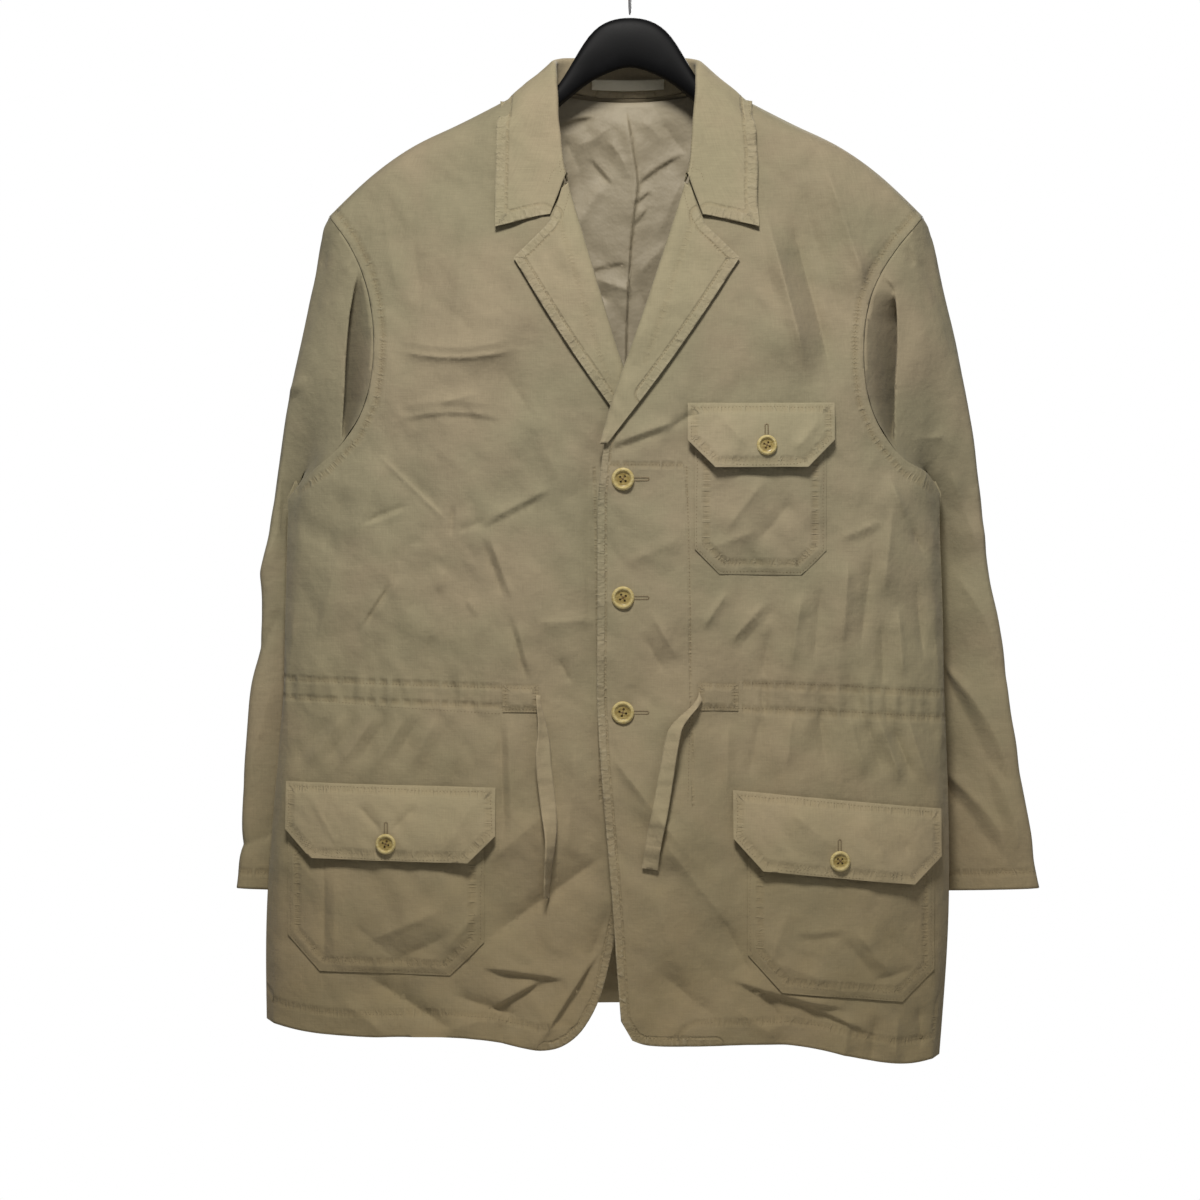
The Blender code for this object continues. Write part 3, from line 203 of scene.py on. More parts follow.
FRONT_RIGHT_CREASES = (
    # across the chest
    (-0.153, -0.379, 0.062, 0.0024, 0, 0.0016, -0.0105),
    (-0.153, -0.370, 0.058, 0.0100, 0, 0.0024, -0.0105),
    (-0.158, -0.446, 0.056, 0.0030, 0, 0.0010, 0.0085),
    (-0.158, -0.450, 0.052, 0.0036, 0, -0.0006, 0.0085),
    (-0.158, -0.436, 0.050, 0.0100, 0, 0.0016, 0.0085),
    (-0.151, -0.427, 0.022, 0.0022, 14, 0.0009, 0.002),
    (-0.150, -0.300, 0.080, 0.0140, 84, 0.0022),
    (-0.190, -0.310, 0.070, 0.0130, 96, -0.0018),
    (-0.215, -0.285, 0.060, 0.0120, 100, 0.0020),
    # from the armhole to the middle of the front
    (-0.194, -0.5025, 0.048, 0.0024, -43.5, 0.0021),
    (-0.186, -0.508, 0.044, 0.0070, -43.5, -0.0018),
    (-0.200, -0.497, 0.042, 0.0070, -43.5, -0.0011),
    (-0.1575, -0.5335, 0.015, 0.0023, 86, -0.0014),
    (-0.1006, -0.5258, 0.040, 0.0030, 27.6, -0.0011),
    (-0.0995, -0.519, 0.038, 0.0050, 27.6, 0.0020),
    (-0.1405, -0.538, 0.016, 0.0030, 22, -0.0011),
    (-0.1145, -0.574, 0.035, 0.0028, -70, 0.0018),
    (-0.121, -0.576, 0.032, 0.0050, -70, -0.0017),
    (-0.2166, -0.527, 0.026, 0.0022, 22.6, -0.0013),
    (-0.2155, -0.531, 0.024, 0.0040, 22.6, 0.0010),
    (-0.2237, -0.607, 0.028, 0.0032, 56, -0.0025),
    (-0.2285, -0.610, 0.028, 0.0050, 56, 0.0018),
    (-0.2165, -0.603, 0.026, 0.0060, 56, 0.0016),
    (-0.2095, -0.574, 0.020, 0.0025, 88, -0.0010),
    (-0.190, -0.5515, 0.009, 0.0020, 0, -0.0008),
    (-0.1395, -0.6095, 0.010, 0.0023, -58, 0.0010),
    (-0.167, -0.586, 0.012, 0.0032, 75, 0.0011),
    (-0.232, -0.515, 0.055, 0.0120, 66, 0.0024),
    (-0.262, -0.530, 0.034, 0.0090, 68, -0.0018),
    (-0.268, -0.600, 0.050, 0.0120, 76, 0.0022),
    (-0.185, -0.590, 0.034, 0.0110, 70, -0.0016),
    # beside the front edge
    (-0.037, -0.560, 0.110, 0.0090, 90, -0.0022),
    (-0.055, -0.622, 0.032, 0.0060, 4, 0.0016),
    (-0.100, -0.420, 0.040, 0.0120, -58, -0.0020),
    (-0.075, -0.470, 0.050, 0.0130, -66, 0.0020),
    (-0.0993, -0.647, 0.032, 0.0030, -75, -0.0018),
    (-0.094, -0.647, 0.032, 0.0042, -75, 0.0014),
    (-0.058, -0.666, 0.014, 0.0028, -65, -0.0012),
    (-0.150, -0.650, 0.030, 0.0090, 80, 0.0014),
    (-0.178, -0.655, 0.026, 0.0080, 84, -0.0012),
    # under the waist
    (-0.283, -0.728, 0.030, 0.0065, 52, -0.0015),
    (-0.270, -0.726, 0.032, 0.0060, 53, 0.0017),
    (-0.256, -0.727, 0.030, 0.0058, 54, -0.0016),
    (-0.243, -0.729, 0.034, 0.0060, 54, 0.0019),
    (-0.229, -0.728, 0.030, 0.0062, 56, -0.0016),
    (-0.214, -0.730, 0.036, 0.0064, 57, 0.0019),
    (-0.199, -0.728, 0.030, 0.0066, 60, -0.0015),
    (-0.183, -0.729, 0.030, 0.0070, 62, 0.0015),
    (-0.166, -0.727, 0.026, 0.0070, 68, -0.0011),
    (-0.150, -0.730, 0.026, 0.0075, 76, 0.0011),
    (-0.113, -0.760, 0.062, 0.0040, 92, -0.0020),
    (-0.106, -0.760, 0.060, 0.0050, 92, 0.0014),
    (-0.052, -0.780, 0.060, 0.0100, 84, 0.0022),
    # skirt of the front
    (-0.0737, -0.864, 0.076, 0.0150, 35.6, -0.0052),
    (-0.1000, -0.812, 0.045, 0.0120, 40, 0.0024),
    (-0.195, -0.9586, 0.056, 0.0110, -31, -0.0040),
    (-0.0935, -0.9323, 0.042, 0.0120, -8, 0.0008, 0.0, 0.0044),
    (-0.100, -0.9507, 0.030, 0.0100, 29, 0.0, 0.0, 0.0044),
    (-0.125, -0.961, 0.040, 0.0070, -18, -0.0026),
    (-0.0527, -0.952, 0.052, 0.0150, 57, 0.0010, 0.0, 0.0050),
    (-0.150, -0.978, 0.026, 0.0080, 16, 0.0018),
    (-0.235, -0.972, 0.030, 0.0100, -36, 0.0020),
    (-0.113, -0.985, 0.014, 0.0030, 88, -0.0010),
    (-0.030, -0.905, 0.040, 0.0090, 70, -0.0018),
    (-0.075, -0.985, 0.022, 0.0080, 40, 0.0018),
)
FRONT_LEFT_CREASES = (
    # chest, beside the sleeve and under the lapel
    (0.192, -0.270, 0.085, 0.0110, -72, 0.0044),
    (0.168, -0.290, 0.085, 0.0110, -74, -0.0024),
    (0.138, -0.331, 0.085, 0.0130, -76, 0.0078),
    (0.162, -0.335, 0.085, 0.0120, -76, -0.0062),
    (0.120, -0.300, 0.070, 0.0120, -80, -0.0018),
    (0.008, -0.463, 0.038, 0.0040, 20, -0.0016),
    (0.012, -0.456, 0.036, 0.0050, 20, 0.0024),
    (0.046, -0.445, 0.018, 0.0036, 30, -0.0016),
    (0.204, -0.541, 0.024, 0.0032, 22, 0.0012),
    (0.206, -0.549, 0.024, 0.0040, 22, -0.0006),
    (0.240, -0.520, 0.034, 0.0045, -66, 0.0026),
    (0.251, -0.542, 0.032, 0.0042, -60, -0.0022),
    # between chest pocket and waist
    (0.020, -0.560, 0.030, 0.0080, 24, 0.0016),
    (0.030, -0.635, 0.030, 0.0050, -60, 0.0020),
    (0.020, -0.650, 0.022, 0.0045, -60, -0.0016),
    (0.104, -0.622, 0.028, 0.0040, 48, 0.0016),
    (0.112, -0.627, 0.028, 0.0050, 48, -0.0009),
    (0.074, -0.612, 0.022, 0.0036, 56, 0.0018),
    (0.228, -0.560, 0.044, 0.0060, 84, 0.0026),
    (0.210, -0.600, 0.052, 0.0060, 82, -0.0024),
    (0.190, -0.605, 0.048, 0.0062, 86, 0.0024),
    (0.165, -0.625, 0.042, 0.0062, 84, -0.0020),
    (0.146, -0.630, 0.038, 0.0060, 82, 0.0024),
    (0.120, -0.650, 0.028, 0.0056, 80, -0.0018),
    (0.240, -0.640, 0.038, 0.0060, 94, 0.0026),
    (0.224, -0.650, 0.032, 0.0052, 92, -0.0022),
    (0.258, -0.620, 0.040, 0.0060, 96, -0.0022),
    # under the waist
    (0.256, -0.738, 0.034, 0.0055, -72, 0.0026),
    (0.230, -0.735, 0.034, 0.0050, -70, 0.0028),
    (0.242, -0.738, 0.030, 0.0048, -68, -0.0024),
    (0.216, -0.732, 0.030, 0.0055, -72, -0.0020),
    (0.200, -0.730, 0.032, 0.0060, -76, 0.0022),
    (0.170, -0.725, 0.030, 0.0062, -84, -0.0020),
    (0.140, -0.728, 0.028, 0.0062, 84, 0.0020),
    (0.110, -0.730, 0.032, 0.0060, 78, -0.0018),
    (0.085, -0.745, 0.038, 0.0050, 88, 0.0018),
    # skirt of the front
    (0.017, -0.7834, 0.080, 0.0120, -52, 0.0040),
    (0.0575, -0.851, 0.066, 0.0120, -52, 0.0036),
    (0.030, -0.890, 0.060, 0.0130, -68, 0.0022),
    (0.092, -0.905, 0.040, 0.0080, -62, -0.0020),
    (0.1393, -0.9497, 0.060, 0.0110, -15, 0.0008, -0.004, 0.0046),
    (0.126, -0.962, 0.018, 0.0050, -62, -0.0022),
    (0.180, -0.972, 0.040, 0.0080, -24, 0.0, 0.0, 0.0034),
    (0.110, -0.975, 0.026, 0.0080, -36, 0.0020),
    (0.190, -0.992, 0.026, 0.0060, 84, 0.0020),
    (0.215, -0.992, 0.024, 0.0052, 86, -0.0020),
    (0.236, -0.992, 0.026, 0.0060, 88, 0.0020),
    (0.258, -0.985, 0.024, 0.0052, 94, -0.0018),
    (0.050, -0.950, 0.040, 0.0100, -40, -0.0024),
)


def ease(share):
    share = np.clip(share, 0.0, 1.0)
    return share * share * (3 - 2 * share)


CREASE_CORE = 0.0009      # radius of a fold's crest


def raised(creases, x, z):
    """How far a table of creases lifts the cloth at each place."""
    height = np.zeros_like(x)
    for crease in (Crease(*row) for row in creases):
        turn = math.radians(crease.turn)
        right, up = x - crease.x, z - crease.z
        along = (right * math.cos(turn) + up * math.sin(turn)) / crease.run
        across = up * math.cos(turn) - right * math.sin(turn)
        across = across - crease.bow * (1 - along**2)
        shape = np.exp((CREASE_CORE - np.hypot(across, CREASE_CORE)) / crease.width)
        fold = crease.height + 0.5 * crease.step * across / np.hypot(across, 2 * CREASE_CORE)
        height += fold * shape * ease(1.6 - 1.6 * np.abs(along))
    return height


# each wave's share of the height, its turns aside and up, and its start
WAVES = ((0.34, 58, 9, 0.0), (0.27, 37, -43, 2.1), (0.22, 24, 71, 0.0), (0.17, 113, 67, 0.4))


def waves(x, z, scale=1.0):
    """Soft uneven waves of cloth that hangs free, between -1 and 1."""
    x, z = x / scale, z / scale
    bent = z + 0.020 * np.sin(41 * x + 1.3) + 0.010 * np.sin(87 * x)
    leaning = x + 0.024 * np.sin(23 * z) + 0.008 * np.sin(61 * z + 0.7)
    return sum(share * np.sin(aside * leaning + up * bent + start) for share, aside, up, start in WAVES)


FRONT_FOLDS = 1.95        # the folds are this many times as high as their table says


def front_lift(side, points):
    """How far a front and all that is sewn to it stand forward of the plain hanging form."""
    x, z = points[:, 0], points[:, 2]
    creases = FRONT_RIGHT_CREASES if side < 0 else FRONT_LEFT_CREASES
    soft = 0.0030 * waves(x + 0.3 * side, z) + 0.0010 * waves(x - 0.2 * side, z, 0.42)
    return FRONT_FOLDS * raised(creases, x, z) + soft


class Rim(NamedTuple):
    """An edge of the cloth in fine stations: place, cloth's normal, the way in, and the distance run."""
    place: np.ndarray
    normal: np.ndarray
    inward: np.ndarray
    run: np.ndarray


class Band(NamedTuple):
    """A strip along a stitched edge: each point's way along it, and its way in as a share of the strip."""
    run: np.ndarray
    inset: np.ndarray


RIM_STEP = 0.002


def wall_edges(bm, wall):
    """Edges through a wall's thickness, and the two edges of its rim all along."""
    through = [e for e in bm.edges if abs(e.calc_length() - wall) < 0.00001]
    rim_faces = {f for e in through for f in e.link_faces}
    along = [e for f in rim_faces for e in f.edges if any(o not in rim_faces for o in e.link_faces)]
    return through, set(along)


def run_of(line):
    """The distance run at each point of a line."""
    return np.concatenate([[0], np.cumsum(np.linalg.norm(np.diff(line, axis=0), axis=1))])


def rims_of(bm, wall, outside):
    """The outer edges of a wall as rims, in the order that they are found."""
    through, along = wall_edges(bm, wall)
    mate = {}
    for e in through:
        a, b = e.verts
        mate[a], mate[b] = b, a
    nearby = {}
    for e in sorted(along, key=lambda e: e.index):      # in the mesh's order, so that each run is the same
        a, b = e.verts
        nearby.setdefault(a, []).append(b)
        nearby.setdefault(b, []).append(a)
    thin = [p for p in nearby if p not in mate]     # at a sharp corner the wall is a little thinner
    for p in thin:
        mate[p] = min((q for q in thin if q is not p), key=lambda q: (q.co - p.co).length)
    left, found = set(nearby), []
    while left:
        first = min(left, key=lambda p: p.index)
        row, here, before = [first], nearby[first][0], first
        while here is not first:
            row.append(here)
            here, before = next(p for p in nearby[here] if p is not before), here
        left -= set(row)
        place = np.array([p.co for p in row])
        normal = np.array([(p.co - mate[p].co).normalized() for p in row])
        if np.sum(normal * outside(place)) < 0:
            continue
        tangent = np.roll(place, -1, axis=0) - np.roll(place, 1, axis=0)
        inward = np.cross(normal, tangent)
        inward /= np.linalg.norm(inward, axis=1, keepdims=True)
        cloth = np.array([sum(((e.other_vert(p).co - p.co) for e in p.link_edges
                               if e.other_vert(p) not in nearby), Vector()) for p in row])
        inward *= np.sign(np.sum(inward * cloth))
        run = run_of(np.vstack([place, place[:1]]))
        fine = np.arange(0, run[-1], RIM_STEP)
        between = [np.column_stack([np.interp(fine, run, np.append(v[:, i], v[0, i])) for i in range(3)])
                   for v in (place, normal, inward)]
        found.append(Rim(*between, fine))
    return found


CORNER = math.radians(24)
DOUBLED = 0.00002         # points of a CAD mesh nearer than this are one
FINER_CUTS = 2
SHARP = math.radians(50)


def merged_copy(node, ending):
    """A copy of a node's mesh with its doubled points merged, as a new piece, selected."""
    bpy.ops.object.select_all(action="DESELECT")
    piece = bpy.data.objects.new(f"{node}_{ending}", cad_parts[node].data.copy())
    bpy.context.scene.collection.objects.link(piece)
    bpy.context.view_layer.objects.active = piece
    piece.select_set(True)
    piece.data.materials.clear()
    bpy.ops.object.mode_set(mode="EDIT")
    bpy.ops.mesh.select_all(action="SELECT")
    bpy.ops.mesh.remove_doubles(threshold=DOUBLED)
    bpy.ops.object.mode_set(mode="OBJECT")
    return piece


def cut_finer(piece):
    """Cuts the selected piece finer and rounder, and shades it smooth but for its sharp edges."""
    finer = piece.modifiers.new("finer", "SUBSURF")
    finer.levels = finer.render_levels = FINER_CUTS
    bpy.ops.object.modifier_apply(modifier=finer.name)
    bpy.ops.object.shade_smooth_by_angle(angle=SHARP)


def wall_of(node, outside, wall=CLOTH):
    """A copy of a piece's wall, merged, made of quads and cut finer, with its rims."""
    piece = merged_copy(node, "cloth")
    bm = bmesh.new()
    bm.from_mesh(piece.data)
    bm.verts.index_update()
    bm.edges.index_update()
    rims = rims_of(bm, wall, outside)
    edge_crease = bm.edges.layers.float.new("crease_edge")
    vert_crease = bm.verts.layers.float.new("crease_vert")
    along = wall_edges(bm, wall)[1]
    for e in along:
        e[edge_crease] = 1.0
        e.seam = True
    for p in {p for e in along for p in e.verts}:
        ways = [(e.other_vert(p).co - p.co).normalized() for e in p.link_edges if e in along]
        if len(ways) == 2 and (-ways[0]).angle(ways[1]) > CORNER:
            p[vert_crease] = 1.0
    bmesh.ops.join_triangles(bm, faces=bm.faces[:], cmp_seam=True, angle_face_threshold=math.radians(70),
                             angle_shape_threshold=math.radians(70))
    bm.to_mesh(piece.data)
    bm.free()
    cut_finer(piece)
    return piece, rims


def points_of(piece):
    flat = np.empty(len(piece.data.vertices) * 3)
    piece.data.vertices.foreach_get("co", flat)
    return flat.reshape(-1, 3)


def set_points(piece, points):
    piece.data.vertices.foreach_set("co", points.ravel())
    piece.data.update()


def nearest_rim(points, rim, where=None):
    """For each point: distance to the rim, and the nearest station's number."""
    tree = KDTree(len(rim.place))
    for i, place in enumerate(rim.place):
        if where is None or where(place):
            tree.insert(place, i)
    tree.balance()
    found = [tree.find(p) for p in points]
    return np.array([f[2] for f in found]), np.array([f[1] for f in found])


def edge_band(points, rim, wide, where=None):
    """The strip between a rim, or the part of it where something holds, and its stitching."""
    distance, station = nearest_rim(points, rim, where)
    return Band(rim.run[station], distance / wide)


MAP_JUMP = 0.03           # no face is as wide as this, so a wider one spans the map's seam
FINEST_BEND = 0.00008
FINEST_EDGE = 0.0016
INNER_BEND = 0.0005


def map_points(piece, layer_name, across, along):
    """Lays two values of each point on a piece as a map; a face where the first one jumps gets one value."""
    corner = np.empty(len(piece.data.loops), np.int32)
    piece.data.loops.foreach_get("vertex_index", corner)
    start = np.empty(len(piece.data.polygons), np.int32)
    piece.data.polygons.foreach_get("loop_start", start)
    across, along = across[corner], along[corner]
    sides = np.diff(np.append(start, len(corner)))
    most = np.repeat(np.maximum.reduceat(across, start), sides)
    least = np.repeat(np.minimum.reduceat(across, start), sides)
    across = np.where(most - least > MAP_JUMP, most, across)
    layer = piece.data.uv_layers.get(layer_name) or piece.data.uv_layers.new(name=layer_name)
    layer.uv.foreach_set("vector", np.column_stack([across, along]).astype(np.float32).ravel())


def map_bands(piece, *bands):
    """Lays the nearest of the stitched strips on each point of a piece, as a map."""
    inset = np.stack([band.inset for band in bands])
    nearest = np.argmin(inset, axis=0)
    each = np.arange(inset.shape[1])
    map_points(piece, "edges", np.stack([band.run for band in bands])[nearest, each], inset[nearest, each])


def refine(piece, lift, outside, longest=0.0036):
    """Cuts the cloth's outer face finer, most where the creases bend it, and its inner face a little."""
    mesh = piece.data
    for _ in range(3):
        middle, normal = np.empty((2, len(mesh.polygons) * 3))
        mesh.polygons.foreach_get("center", middle)
        mesh.polygons.foreach_get("normal", normal)
        middle, normal = middle.reshape(-1, 3), normal.reshape(-1, 3)
        sides = np.empty(len(mesh.polygons), np.int32)
        mesh.polygons.foreach_get("loop_total", sides)
        edge_of = np.empty(len(mesh.loops), np.int32)
        mesh.loops.foreach_get("edge_index", edge_of)
        outer = np.zeros(len(mesh.edges), bool)
        outer[edge_of[np.repeat(np.sum(normal * outside(middle), axis=1) > 0.1, sides)]] = True
        pair = np.empty(len(mesh.edges) * 2, np.int32)
        mesh.edges.foreach_get("vertices", pair)
        points = points_of(piece)
        first, last = points[pair[::2]], points[pair[1::2]]
        long = np.linalg.norm(first - last, axis=1)
        bend = np.abs(lift((first + last) / 2) - (lift(first) + lift(last)) / 2)
        bent = (bend > FINEST_BEND) & (long > FINEST_EDGE)
        cut = np.where(outer, (long > longest) | bent, bend > INNER_BEND)
        bm = bmesh.new()
        bm.from_mesh(mesh)
        every = bm.edges[:]
        edges = [every[i] for i in np.flatnonzero(cut)]
        bmesh.ops.subdivide_edges(bm, edges=edges, cuts=1, use_grid_fill=True)
        bm.to_mesh(mesh)
        bm.free()


def lay_weave(piece, across, along):
    """Threads of the cloth as a map, in metres across and along the piece."""
    points = points_of(piece)
    map_points(piece, "weave", across(points), along(points))


def round_body(points):
    return 0.24 * np.arctan2(points[:, 0] - MIDDLE, np.abs(points[:, 1]) + 0.16)


def height_of(points):
    return points[:, 2]


def forward(points):
    return np.tile((0.0, -1.0, 0.0), (len(points), 1))


def put_on(piece, material, slot, *nodes):
    """Gives a finished piece its material, hangs it from the root, and hides the nodes that it stands for."""
    piece.data.materials.append(material)
    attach(piece, "root")
    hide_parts(*nodes)


OUT_OF_REACH = 9.0        # added to a band's inset where the band isn't sewn
HEM_REACH = 0.022


def row_band(along, away, reach):
    """The strip on both sides of a row of stitching that isn't at an edge."""
    return Band(along, 1 + np.abs(away) / reach)


def hem_band(points, rim, up, where=None):
    """The row of stitching that holds a hem, some way up from the rim."""
    distance, station = nearest_rim(points, rim, where)
    return row_band(rim.run[station], distance - up, HEM_REACH)


def casing_band(points, level, fall, half):
    """The strip of the waist casing, from its middle to its two rows of stitching."""
    x, z = points[:, 0], points[:, 2]
    middle = level - fall * np.abs(x - MIDDLE)
    return Band(round_body(points), np.abs(z - middle) / half)


def gathers(points, band):
    """Small upright pleats that the drawstring pulls into the casing, and that run out above and below."""
    x = round_body(points)
    fine = 0.6 * np.sin(x * 640 + 2.2 * np.sin(x * 61)) + 0.4 * np.sin(x * 395 + 0.8)
    near = ease(1.35 - 0.75 * band.inset)
    far = ease(1.0 - band.inset / 5.5)
    broad = np.sin(x * 262 + 1.7 * np.sin(x * 37)) * (0.6 + 0.4 * np.sin(x * 45))
    return 0.0012 * fine * near + 0.0018 * broad * far - 0.0004 * np.exp(-((band.inset - 1) / 0.35) ** 2)


def casing_rows(casing):
    """The strips beside the casing's two rows of stitching."""
    return Band(casing.run, 1 + np.abs(casing.inset - 1) * 0.45)


def nudged(points, x, z, reach, move):
    """Points moved where they lie about a place that is seen from the front."""
    near = np.exp(-(np.hypot(points[:, 0] - x, points[:, 2] - z) / reach) ** 2)
    return points + np.outer(near, move)


SIDES = {"right": -1, "left": 1}
CASINGS = {"right": (-0.6920, -0.035, 0.0085), "left": (-0.6830, 0.052, 0.0110)}
CASING_ENDS = {"right": 0.112, "left": 0.098}
UNDERARMS = {
    "right": (-0.284, -0.491, 0.020, (0.0, -0.001, 0.004)),
    "left": (0.264, -0.499, 0.022, (0.003, -0.002, 0.009)),
}
SIDE_SEAMS = {"right": 0.298, "left": 0.252}      # how far out the side seams run at the hem
HEM_ROW = 0.0205
ARMHOLE_ROW = 0.0080
FACING_TOP = -0.4845      # where the left front's facing is caught across, under the lapel
fronts, front_rims = {}, {}
for name, side in SIDES.items():
    def lift(points):
        casing = casing_band(points, *CASINGS[name])
        past_end = ease((points[:, 0] * side - CASING_ENDS[name]) / 0.02)
        return front_lift(side, points) + gathers(points, casing) * past_end

    def on_seam(p):
        return p[0] * side > (0.09 if p[2] > -0.960 else SIDE_SEAMS[name])

    front, rims = wall_of(f"front_{name}", forward)
    refine(front, lift, forward)
    rim = rims[0]
    points = nudged(points_of(front), *UNDERARMS[name])
    set_points(front, points)
    x, z = points[:, 0], points[:, 2]
    sewn, _ = nearest_rim(points, rim, on_seam)
    casing = casing_rows(casing_band(points, *CASINGS[name]))
    past_casing = OUT_OF_REACH * (x * side < CASING_ENDS[name])
    facing = (x - (0.049 + 0.02 * (-0.485 - z))) / 0.009 + OUT_OF_REACH * (side < 0)
    past_facing = OUT_OF_REACH * ((z > -0.484) | (z < -0.785))
    top_seam = row_band(x, z - FACING_TOP, 0.02)
    past_top = OUT_OF_REACH * ((x > 0.048) | (side < 0))
    map_bands(front, Band(casing.run, casing.inset + past_casing), Band(z, 1 + np.abs(facing) + past_facing),
              Band(top_seam.run, top_seam.inset + past_top),
              edge_band(points, rim, 0.0075, lambda p: p[0] * side < 0.075 and p[2] < -0.440),
              hem_band(points, rim, ARMHOLE_ROW, lambda p: p[0] * side > 0.150 and -0.500 < p[2] < -0.240),
              hem_band(points, rim, HEM_ROW, lambda p: p[0] * side > 0.060 and p[2] < -0.970))
    lay_weave(front, round_body, height_of)
    set_points(front, points - np.outer(lift(points) * ease(sewn / 0.020), (0, 1, 0)))
    put_on(front, shell_cotton, "khaki_cotton", f"front_{name}")
    fronts[name], front_rims[name] = front, rim

# Back panel
# One panel of the same cotton from the shoulders to the hem, drawn in by the casing at the waist.
# It hangs in long folds from the shoulder blades and below the casing.
BACK_CREASES = (
    (-0.140, -0.360, 0.100, 0.0120, 62, 0.0032),
    (-0.110, -0.420, 0.090, 0.0100, 66, -0.0030),
    (0.130, -0.370, 0.100, 0.0120, -64, 0.0030),
    (0.100, -0.430, 0.080, 0.0100, -68, -0.0028),
    (-0.010, -0.330, 0.080, 0.0140, 88, 0.0022),
    (-0.060, -0.540, 0.080, 0.0100, 80, 0.0030),
    (-0.030, -0.560, 0.070, 0.0090, 86, -0.0026),
    (0.055, -0.550, 0.080, 0.0100, -80, 0.0030),
    (0.160, -0.540, 0.060, 0.0090, -50, -0.0030),
    (0.175, -0.530, 0.060, 0.0090, -50, 0.0026),
    (-0.190, -0.540, 0.060, 0.0090, 48, 0.0030),
    (-0.180, -0.560, 0.055, 0.0090, 48, -0.0026),
    (-0.200, -0.780, 0.070, 0.0100, 82, 0.0034),
    (-0.160, -0.790, 0.080, 0.0090, 86, -0.0030),
    (-0.110, -0.800, 0.090, 0.0100, 88, 0.0036),
    (-0.050, -0.790, 0.070, 0.0090, 92, -0.0030),
    (0.000, -0.810, 0.090, 0.0110, 90, 0.0034),
    (0.060, -0.790, 0.080, 0.0090, 88, -0.0028),
    (0.110, -0.800, 0.090, 0.0100, 94, 0.0036),
    (0.160, -0.790, 0.070, 0.0090, 96, -0.0030),
    (0.205, -0.790, 0.080, 0.0100, 98, 0.0032),
    (-0.080, -0.940, 0.060, 0.0090, 24, -0.0030),
    (0.090, -0.930, 0.060, 0.0090, -20, -0.0030),
    (0.020, -0.471, 0.060, 0.0080, 6, -0.0010, 0.006),
    (0.020, -0.463, 0.060, 0.0070, 6, 0.0022, 0.006),
    (-0.090, -0.630, 0.050, 0.0060, 12, -0.0024, -0.004),
)


def backward(points):
    return np.tile((0.0, 1.0, 0.0), (len(points), 1))


CASING_BACK = (-0.6880, 0.0, 0.0100)


def back_lift(points):
    x, z = points[:, 0], points[:, 2]
    folds = 1.5 * raised(BACK_CREASES, x, z) + 0.0020 * waves(x + 0.7, z)
    return folds + gathers(points, casing_band(points, *CASING_BACK))


def on_back_seam(p):
    return p[2] > -0.940 or not -SIDE_SEAMS["right"] < p[0] < SIDE_SEAMS["left"]


back, rims = wall_of("back", backward)
refine(back, back_lift, backward, 0.0060)
back_rim = rims[0]
points = nudged(points_of(back), -0.290, -0.494, 0.020, (-0.005, 0.002, 0.008))
points = nudged(points, 0.270, -0.499, 0.020, (0.005, 0.002, 0.008))
set_points(back, points)
sewn, _ = nearest_rim(points, back_rim, on_back_seam)
points[:, 1] -= 0.0006 * np.exp(-(sewn / 0.004) ** 2) * (points[:, 2] < -0.520)
map_bands(back, casing_rows(casing_band(points, *CASING_BACK)),
          hem_band(points, back_rim, HEM_ROW, lambda p: p[2] < -0.940),
          hem_band(points, back_rim, ARMHOLE_ROW,
                   lambda p: abs(p[0] - MIDDLE) > 0.150 and -0.500 < p[2] < -0.240))
lay_weave(back, round_body, height_of)
set_points(back, points + np.outer(back_lift(points) * ease(sewn / 0.022), (0, 1, 0)))
put_on(back, shell_cotton, "khaki_cotton", "back")

# Sleeves
# Two-piece sleeves of the same cotton, set into the armholes and hanging a little behind the sides.
# They crease aslant where the elbow bent, and their hems are turned up and stitched.
SLEEVE_AXIS = ((0.270, 0.000, -0.400), (0.302, 0.026, -0.560), (0.290, 0.042, -0.700), (0.292, 0.045, -0.880))
SLEEVE_CREASES = {
    "right": (
        (-0.243, -0.300, 0.014, 0.0034, 58, -0.0022),
        (-0.250, -0.300, 0.014, 0.0040, 58, 0.0018),
        (-0.318, -0.430, 0.034, 0.0060, 30, -0.0022),
        (-0.315, -0.420, 0.034, 0.0080, 30, 0.0024),
        (-0.322, -0.560, 0.050, 0.0090, 66, 0.0024),
        (-0.335, -0.640, 0.040, 0.0080, 60, -0.0024),
        (-0.330, -0.720, 0.060, 0.0090, 74, 0.0026),
        (-0.320, -0.790, 0.040, 0.0080, 64, -0.0026),
        (-0.340, -0.820, 0.030, 0.0070, 20, -0.0020),
    ),
    "left": (
        (0.228, -0.3225, 0.012, 0.0032, -42, -0.0024),
        (0.232, -0.3165, 0.012, 0.0040, -42, 0.0018),
        (0.2497, -0.295, 0.012, 0.0032, -66, -0.0022),
        (0.2560, -0.293, 0.012, 0.0040, -66, 0.0016),
        (0.268, -0.458, 0.020, 0.0040, 6, 0.0016),
        (0.300, -0.520, 0.050, 0.0090, -72, 0.0026),
        (0.316, -0.620, 0.060, 0.0100, -64, 0.0030),
        (0.3125, -0.7117, 0.066, 0.0130, -62, 0.0016, 0.0, 0.0088),
        (0.3107, -0.793, 0.058, 0.0130, -54, 0.0016, 0.0, 0.0090),
        (0.335, -0.799, 0.050, 0.0120, -77, 0.0012, 0.0, 0.0066),
        (0.288, -0.760, 0.040, 0.0100, -66, -0.0024),
        (0.330, -0.560, 0.060, 0.0100, -80, -0.0020),
        (0.340, -0.850, 0.024, 0.0070, 30, -0.0022),
    ),
}


